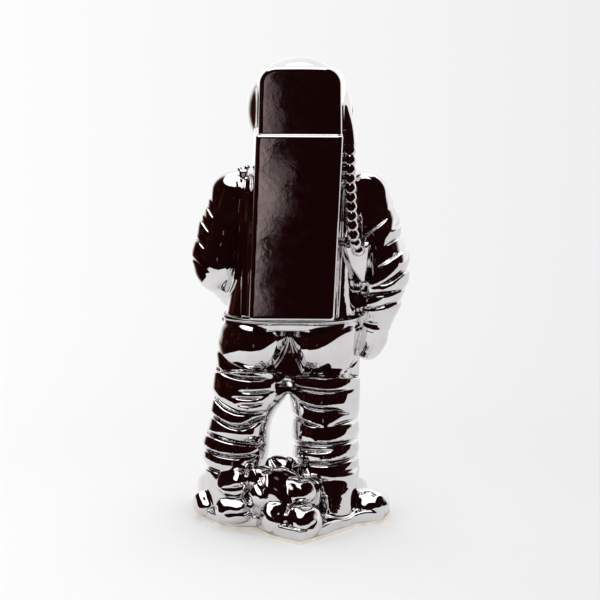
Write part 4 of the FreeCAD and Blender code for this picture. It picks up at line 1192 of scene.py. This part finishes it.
def chrome_material():
    m = bpy.data.materials.new("chrome_lustre_glaze")
    m.use_nodes = True
    nt = m.node_tree
    nt.nodes.clear()
    out = node(nt, "ShaderNodeOutputMaterial")
    b = node(nt, "ShaderNodeBsdfPrincipled")
    nt.links.new(b.outputs[0], out.inputs[0])
    b.inputs["Metallic"].default_value = 1.0
    tc = node(nt, "ShaderNodeTexCoord")
    # the metal lustre is a little thinner and warmer in patches
    n1 = node(nt, "ShaderNodeTexNoise")
    n1.inputs["Scale"].default_value = 55.0
    n1.inputs["Detail"].default_value = 5.0
    n1.inputs["Roughness"].default_value = 0.62
    r1 = node(nt, "ShaderNodeValToRGB")
    r1.color_ramp.elements[0].position = 0.30
    r1.color_ramp.elements[0].color = (0.665, 0.640, 0.640, 1)
    r1.color_ramp.elements[1].position = 0.72
    r1.color_ramp.elements[1].color = (0.765, 0.755, 0.765, 1)
    nt.links.new(tc.outputs["Object"], n1.inputs["Vector"])
    nt.links.new(n1.outputs["Fac"], r1.inputs["Fac"])
    # pinholes of the glaze: sparse dark specks
    vo = node(nt, "ShaderNodeTexVoronoi")
    vo.inputs["Scale"].default_value = 173.0
    nt.links.new(tc.outputs["Object"], vo.inputs["Vector"])
    pin = node(nt, "ShaderNodeMapRange")
    pin.inputs["From Min"].default_value = 0.035
    pin.inputs["From Max"].default_value = 0.075
    nt.links.new(vo.outputs["Distance"], pin.inputs["Value"])
    few = node(nt, "ShaderNodeMath", operation="GREATER_THAN")
    few.inputs[1].default_value = 0.985
    sep = node(nt, "ShaderNodeSeparateColor")
    nt.links.new(vo.outputs["Color"], sep.inputs["Color"])
    nt.links.new(sep.outputs[0], few.inputs[0])
    spot = node(nt, "ShaderNodeMath", operation="SUBTRACT")
    spot.inputs[0].default_value = 1.0
    nt.links.new(pin.outputs["Result"], spot.inputs[1])
    spot2 = node(nt, "ShaderNodeMath", operation="MULTIPLY")
    nt.links.new(spot.outputs[0], spot2.inputs[0])
    nt.links.new(few.outputs[0], spot2.inputs[1])
    mix = node(nt, "ShaderNodeMix", data_type="RGBA")
    mix.inputs["B"].default_value = (0.16, 0.09, 0.07, 1)
    nt.links.new(spot2.outputs[0], mix.inputs["Factor"])
    nt.links.new(r1.outputs["Color"], mix.inputs["A"])
    nt.links.new(mix.outputs["Result"], b.inputs["Base Color"])
    # gloss: almost a mirror, with drifting haze
    n2 = node(nt, "ShaderNodeTexNoise")
    n2.inputs["Scale"].default_value = 120.0
    n2.inputs["Detail"].default_value = 3.0
    nt.links.new(tc.outputs["Object"], n2.inputs["Vector"])
    mr = node(nt, "ShaderNodeMapRange")
    mr.inputs["From Min"].default_value = 0.3
    mr.inputs["From Max"].default_value = 0.75
    mr.inputs["To Min"].default_value = 0.010
    mr.inputs["To Max"].default_value = 0.042
    nt.links.new(n2.outputs["Fac"], mr.inputs["Value"])
    nt.links.new(mr.outputs["Result"], b.inputs["Roughness"])
    # orange peel of the glaze
    n3 = node(nt, "ShaderNodeTexNoise")
    n3.inputs["Scale"].default_value = 260.0
    n3.inputs["Detail"].default_value = 2.0
    nt.links.new(tc.outputs["Object"], n3.inputs["Vector"])
    bump = node(nt, "ShaderNodeBump")
    bump.inputs["Strength"].default_value = 0.02
    bump.inputs["Distance"].default_value = 0.0003
    nt.links.new(n3.outputs["Fac"], bump.inputs["Height"])
    nt.links.new(bump.outputs["Normal"], b.inputs["Normal"])
    return m


def bisque_material():
    m = bpy.data.materials.new("unglazed_bisque")
    m.use_nodes = True
    nt = m.node_tree
    b = nt.nodes["Principled BSDF"]
    tc = node(nt, "ShaderNodeTexCoord")
    n1 = node(nt, "ShaderNodeTexNoise")
    n1.inputs["Scale"].default_value = 90.0
    n1.inputs["Detail"].default_value = 6.0
    r1 = node(nt, "ShaderNodeValToRGB")
    r1.color_ramp.elements[0].position = 0.3
    r1.color_ramp.elements[0].color = (0.66, 0.58, 0.49, 1)
    r1.color_ramp.elements[1].position = 0.7
    r1.color_ramp.elements[1].color = (0.84, 0.79, 0.72, 1)
    nt.links.new(tc.outputs["Object"], n1.inputs["Vector"])
    nt.links.new(n1.outputs["Fac"], r1.inputs["Fac"])
    nt.links.new(r1.outputs["Color"], b.inputs["Base Color"])
    b.inputs["Roughness"].default_value = 0.82
    n2 = node(nt, "ShaderNodeTexNoise")
    n2.inputs["Scale"].default_value = 900.0
    n2.inputs["Detail"].default_value = 4.0
    nt.links.new(tc.outputs["Object"], n2.inputs["Vector"])
    bump = node(nt, "ShaderNodeBump")
    bump.inputs["Strength"].default_value = 0.35
    bump.inputs["Distance"].default_value = 0.0004
    nt.links.new(n2.outputs["Fac"], bump.inputs["Height"])
    nt.links.new(bump.outputs["Normal"], b.inputs["Normal"])
    return m


CHROME = chrome_material()
BISQUE = bisque_material()

# ---------------------------------------------------------------- pieces as thin cast shells
WALL = 1.8


def make_piece(name, faces):
    used, inv = np.unique(faces, return_inverse=True)
    f = inv.reshape(faces.shape)
    v = VERT[used]
    n = NORM[used]
    k = len(v)
    # rim: edges used once
    e = np.concatenate([f[:, [i, (i + 1) % 4]] for i in range(4)])
    es = np.sort(e, axis=1)
    code = es[:, 0].astype(np.int64) * k + es[:, 1]
    uq, first, cnt = np.unique(code, return_index=True, return_counts=True)
    rim = e[first[cnt == 1]]
    # the inner wall is eased so that folds don't make it cross itself
    t = np.full(k, WALL)
    inner = v - n * t[:, None]
    adj_a = np.concatenate([e[:, 0], e[:, 1]])
    adj_b = np.concatenate([e[:, 1], e[:, 0]])
    for it in range(3):
        s = np.zeros_like(inner)
        c = np.zeros(k)
        np.add.at(s, adj_a, inner[adj_b])
        np.add.at(c, adj_a, 1.0)
        inner = 0.5 * inner + 0.5 * s / np.maximum(c, 1)[:, None]
    # never closer than half the wall to the outer skin
    d = ((v - inner) * n).sum(1)
    inner -= n * np.maximum(0.9 - d, 0)[:, None]
    allv = np.concatenate([v, inner]) * 0.001
    qf = [f, f[:, ::-1] + k]
    if len(rim):
        qf.append(np.stack([rim[:, 1], rim[:, 0], rim[:, 0] + k, rim[:, 1] + k], 1))
    allf = np.concatenate(qf)
    me = bpy.data.meshes.new(name)
    me.vertices.add(len(allv))
    me.vertices.foreach_set("co", allv.astype(np.float32).ravel())
    me.loops.add(allf.size)
    me.loops.foreach_set("vertex_index", allf.astype(np.int32).ravel())
    me.polygons.add(len(allf))
    me.polygons.foreach_set("loop_start", (np.arange(len(allf)) * 4).astype(np.int32))
    me.polygons.foreach_set("use_smooth", np.ones(len(allf), bool))
    me.update(calc_edges=True)
    if len(me.polygons) != len(allf):
        raise SystemExit("faces lost in " + name)
    # outer and inner faces carry the true surface normal, the rim its own flat one
    co = allv
    nf = len(f)
    cn = np.empty((allf.size, 3), np.float32)
    cn[:nf * 4] = n[f.ravel()]
    cn[nf * 4:nf * 8] = -n[(f[:, ::-1]).ravel()]
    if len(rim):
        r = allf[2 * nf:]
        a = co[r[:, 1]] - co[r[:, 0]]
        b = co[r[:, 3]] - co[r[:, 0]]
        fn = np.cross(a, b)
        fn /= np.maximum(np.linalg.norm(fn, axis=1), 1e-12)[:, None]
        cn[nf * 8:] = np.repeat(fn, 4, axis=0)
    me.normals_split_custom_set(cn)
    ob = bpy.data.objects.new(name, me)
    bpy.context.scene.collection.objects.link(ob)
    me.materials.append(CHROME)
    return ob


total = 0
for i, name in enumerate(NAMES):
    faces = QUAD[FLAB == i]
    if len(faces) == 0:
        print("NO FACES", name)
        continue
    ob = make_piece("skin_" + name, faces)
    total += len(ob.data.polygons)
    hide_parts(name)
    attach(ob, "root")
print("pieces", len(NAMES), "faces", total, "%.1f s" % (time.time() - T0))

slab = frame["nodes"]["base_slab"]
slab = slab if hasattr(slab, "data") else bpy.data.objects[slab if isinstance(slab, str) else "base_slab"]
slab.data.materials.clear()
slab.data.materials.append(BISQUE)

# ---------------------------------------------------------------- floor, light, camera
floor_mat = bpy.data.materials.new("pale_floor")
floor_mat.use_nodes = True
nt = floor_mat.node_tree
b = nt.nodes["Principled BSDF"]
b.inputs["Roughness"].default_value = 0.9
b.inputs["Specular IOR Level"].default_value = 0.0
# painted shade: the floor's colour is made a little darker from the figure's left to its right, standing in for the
# light falling off across the sweep
ft = node(nt, "ShaderNodeTexCoord")
fs = node(nt, "ShaderNodeSeparateXYZ")
nt.links.new(ft.outputs["Object"], fs.inputs[0])
fa = node(nt, "ShaderNodeMath", operation="ADD")
fa.inputs[1].default_value = 0.0867
nt.links.new(fs.outputs[0], fa.inputs[0])
fb = node(nt, "ShaderNodeMath", operation="SUBTRACT")
fb.inputs[0].default_value = 1.6547
nt.links.new(fs.outputs[1], fb.inputs[1])
fm = node(nt, "ShaderNodeMath", operation="MAXIMUM")
fm.inputs[1].default_value = 1.2
nt.links.new(fb.outputs[0], fm.inputs[0])
fd = node(nt, "ShaderNodeMath", operation="DIVIDE")
nt.links.new(fa.outputs[0], fd.inputs[0])
nt.links.new(fm.outputs[0], fd.inputs[1])
fr_ = node(nt, "ShaderNodeMapRange")
fr_.inputs["From Min"].default_value = -0.09
fr_.inputs["From Max"].default_value = 0.20
fr_.inputs["To Min"].default_value = 0.865 / 1.15
fr_.inputs["To Max"].default_value = 0.985 / 1.15
nt.links.new(fd.outputs[0], fr_.inputs["Value"])
# and painted light: the floor's colour is a little paler around the foot of the figure, to lift the figure's shadow on
# it
fl = node(nt, "ShaderNodeVectorMath", operation="DISTANCE")
fl.inputs[1].default_value = (0.0, 0.07, 0.0)
nt.links.new(ft.outputs["Object"], fl.inputs[0])
fm = node(nt, "ShaderNodeMapRange", interpolation_type="SMOOTHSTEP")
fm.inputs["From Min"].default_value = 0.0
fm.inputs["From Max"].default_value = 0.42
fm.inputs["To Min"].default_value = 1.085
fm.inputs["To Max"].default_value = 1.0
nt.links.new(fl.outputs["Value"], fm.inputs["Value"])
fx = node(nt, "ShaderNodeMath", operation="MULTIPLY")
nt.links.new(fr_.outputs["Result"], fx.inputs[0])
nt.links.new(fm.outputs["Result"], fx.inputs[1])
fc = node(nt, "ShaderNodeCombineColor")
for q in range(3):
    nt.links.new(fx.outputs[0], fc.inputs[q])
# the floor's base colour carries the painted shade fall-off and the painted light round the foot
nt.links.new(fc.outputs[0], b.inputs["Base Color"])
me = bpy.data.meshes.new("floor")
me.from_pydata([(-1.2, -2.4, 0), (0.26, -2.4, 0), (0.26, 0.21, 0), (-1.2, 0.21, 0)], [], [(0, 1, 2, 3)])
floor = bpy.data.objects.new("floor", me)
bpy.context.scene.collection.objects.link(floor)
me.materials.append(floor_mat)
# the sweep goes on all round, out of the glaze's sight
for name, x0, y0, x1, y1 in (("floor_left", 0.26, -2.4, 3.2, 0.21), ("floor_right", -3.2, -2.4, -1.2, 0.21),
                             ("floor_near", -3.2, 0.21, 3.2, 3.2), ("floor_far", -3.2, -3.6, 3.2, -2.4)):
    me = bpy.data.meshes.new(name)
    me.from_pydata([(x0, y0, 0), (x1, y0, 0), (x1, y1, 0), (x0, y1, 0)], [], [(0, 1, 2, 3)])
    sweep = bpy.data.objects.new(name, me)
    bpy.context.scene.collection.objects.link(sweep)
    me.materials.append(floor_mat)
    sweep.visible_glossy = False

world = bpy.data.worlds.new("studio")
bpy.context.scene.world = world
world.use_nodes = True
nt = world.node_tree
nt.nodes.clear()
out = node(nt, "ShaderNodeOutputWorld")
tc = node(nt, "ShaderNodeTexCoord")
sep = node(nt, "ShaderNodeSeparateXYZ")
nt.links.new(tc.outputs["Generated"], sep.inputs[0])


def mth(op, a, b=None, c=None, clamp=False):
    n = node(nt, "ShaderNodeMath", operation=op, use_clamp=clamp)
    for i, v in enumerate((a, b, c)):
        if v is None:
            continue
        if isinstance(v, (int, float)):
            n.inputs[i].default_value = v
        else:
            nt.links.new(v, n.inputs[i])
    return n.outputs[0]


def smooth(v, a, b, to0=0.0, to1=1.0):
    n = node(nt, "ShaderNodeMapRange", interpolation_type="SMOOTHSTEP")
    nt.links.new(v, n.inputs["Value"])
    n.inputs["From Min"].default_value = a
    n.inputs["From Max"].default_value = b
    n.inputs["To Min"].default_value = to0
    n.inputs["To Max"].default_value = to1
    return n.outputs["Result"]


def mixc(f, a, b):
    n = node(nt, "ShaderNodeMix", data_type="RGBA")
    if isinstance(f, (int, float)):
        n.inputs["Factor"].default_value = f
    else:
        nt.links.new(f, n.inputs["Factor"])
    for s, v in (("A", a), ("B", b)):
        if isinstance(v, tuple):
            n.inputs[s].default_value = v
        else:
            nt.links.new(v, n.inputs[s])
    return n.outputs["Result"]


x, y, z = sep.outputs[0], sep.outputs[1], sep.outputs[2]
# azimuth of a direction, in degrees from +Y (where the camera stands), positive towards -X
az = mth("MULTIPLY", mth("ARCTAN2", mth("MULTIPLY", x, -1.0), y), 57.29578)
el = mth("MULTIPLY", mth("ARCSINE", z), 57.29578)
DARK = (0.0105, 0.0018, 0.0020, 1)
BROWN = (0.060, 0.016, 0.008, 1)
WHITE = (1.15, 1.13, 1.13, 1)
SOFT = (2.6, 2.6, 2.6, 1)
# the dark half of the room, from azimuth -135 (the figure's left) to +105
side = mth("MULTIPLY", smooth(az, -142.0, -126.0), smooth(az, 112.0, 92.0))
col = mixc(side, WHITE, DARK)
# warm fringe where the dark room meets the white sweep
fr = mth("MULTIPLY", smooth(az, -150.0, -134.0), smooth(az, -110.0, -128.0))
col = mixc(mth("MULTIPLY", fr, 0.5), col, BROWN)
# brown things standing about in the dark half
nb = node(nt, "ShaderNodeTexNoise")
nb.inputs["Scale"].default_value = 4.5
nb.inputs["Detail"].default_value = 3.0
nt.links.new(tc.outputs["Generated"], nb.inputs["Vector"])
brown = mth("MULTIPLY", smooth(nb.outputs["Fac"], 0.50, 0.66), mth("MULTIPLY", smooth(el, -20.0, -8.0), smooth(el, 40.0, 20.0)))
brown = mth("MULTIPLY", brown, mth("MULTIPLY", smooth(az, -126.0, -112.0), smooth(az, 98.0, 84.0)))
brown = mth("MULTIPLY", brown, mth("ADD", smooth(az, 24.0, 44.0), smooth(az, -40.0, -60.0)))
col = mixc(mth("MULTIPLY", brown, 0.8), col, BROWN)
# a grey hazy strip of the room beside the viewpoint, with a ragged right border
ng = node(nt, "ShaderNodeTexNoise")
ng.inputs["Scale"].default_value = 105.0
ng.inputs["Detail"].default_value = 5.0
ng.inputs["Roughness"].default_value = 0.6
nt.links.new(tc.outputs["Generated"], ng.inputs["Vector"])
ng2 = node(nt, "ShaderNodeTexNoise")
ng2.inputs["Scale"].default_value = 38.0
ng2.inputs["Detail"].default_value = 4.0
nt.links.new(tc.outputs["Generated"], ng2.inputs["Vector"])
rag = mth("ADD", mth("MULTIPLY", mth("SUBTRACT", ng.outputs["Fac"], 0.5), 1.5), mth("MULTIPLY", mth("SUBTRACT", ng2.outputs["Fac"], 0.5), 1.3))
azr = mth("ADD", mth("ADD", az, rag), mth("ADD", 0.34, mth("MAXIMUM", 0.0, mth("MULTIPLY", mth("ADD", el, 9.0), -0.14))))
strip = mth("MULTIPLY", smooth(azr, -3.05, -3.55), smooth(az, -7.4, -6.4))
strip = mth("MULTIPLY", strip, mth("MULTIPLY", smooth(el, -15.0, -12.6), smooth(el, -3.2, -4.6)))
GREY = (0.345, 0.272, 0.266, 1)
GREY2 = (0.120, 0.078, 0.078, 1)
gcol = mixc(smooth(ng.outputs["Fac"], 0.38, 0.60), GREY2, GREY)
col = mixc(strip, col, gcol)
# softbox overhead
top = smooth(el, 46.0, 52.0)
# it stops short above the figure's right
gap = mth("MULTIPLY", mth("MULTIPLY", smooth(az, 4.0, 12.0), smooth(az, 126.0, 112.0)), smooth(el, 78.0, 70.0))
top = mth("MULTIPLY", top, mth("SUBTRACT", 1.0, gap))
col = mixc(top, col, SOFT)
lp = node(nt, "ShaderNodeLightPath")
bg_room = node(nt, "ShaderNodeBackground")
nt.links.new(col, bg_room.inputs["Color"])
# soft even light for the floor
bg_fill = node(nt, "ShaderNodeBackground")
bg_fill.inputs["Color"].default_value = (1.15, 1.15, 1.15, 1)
# the sweep behind the figure
u = mth("DIVIDE", x, mth("MAXIMUM", mth("MULTIPLY", y, -1.0), 0.7))
ur = node(nt, "ShaderNodeMapRange")
nt.links.new(u, ur.inputs["Value"])
ur.inputs["From Min"].default_value = -0.09
ur.inputs["From Max"].default_value = 0.20
ur.inputs["To Min"].default_value = 0.865
ur.inputs["To Max"].default_value = 0.985
cc = node(nt, "ShaderNodeCombineColor")
for q in range(3):
    nt.links.new(ur.outputs["Result"], cc.inputs[q])
bg_cam = node(nt, "ShaderNodeBackground")
nt.links.new(cc.outputs[0], bg_cam.inputs["Color"])
mix1 = node(nt, "ShaderNodeMixShader")
nt.links.new(lp.outputs["Is Glossy Ray"], mix1.inputs[0])
nt.links.new(bg_fill.outputs[0], mix1.inputs[1])
nt.links.new(bg_room.outputs[0], mix1.inputs[2])
mixs = node(nt, "ShaderNodeMixShader")
nt.links.new(lp.outputs["Is Camera Ray"], mixs.inputs[0])
nt.links.new(mix1.outputs[0], mixs.inputs[1])
nt.links.new(bg_cam.outputs[0], mixs.inputs[2])
nt.links.new(mixs.outputs[0], out.inputs[0])

cam = bpy.data.cameras.new("camera")
cam.lens = 2125.0 / 600.0 * 36.0
cam.sensor_width = 36.0
cam.clip_end = 50.0
camo = bpy.data.objects.new("camera", cam)
bpy.context.scene.collection.objects.link(camo)
camo.location = (-0.0867, 1.6547, 0.522)
from mathutils import Vector
camo.rotation_euler = (Vector((0, 0, 0.180)) - Vector(camo.location)).to_track_quat("-Z", "Y").to_euler()
bpy.context.scene.camera = camo
sc = bpy.context.scene
sc.view_settings.view_transform = "Standard"
sc.view_settings.look = "None"
sc.view_settings.exposure = 0.0
sc.view_settings.gamma = 1.0

bpy.context.view_layer.update()
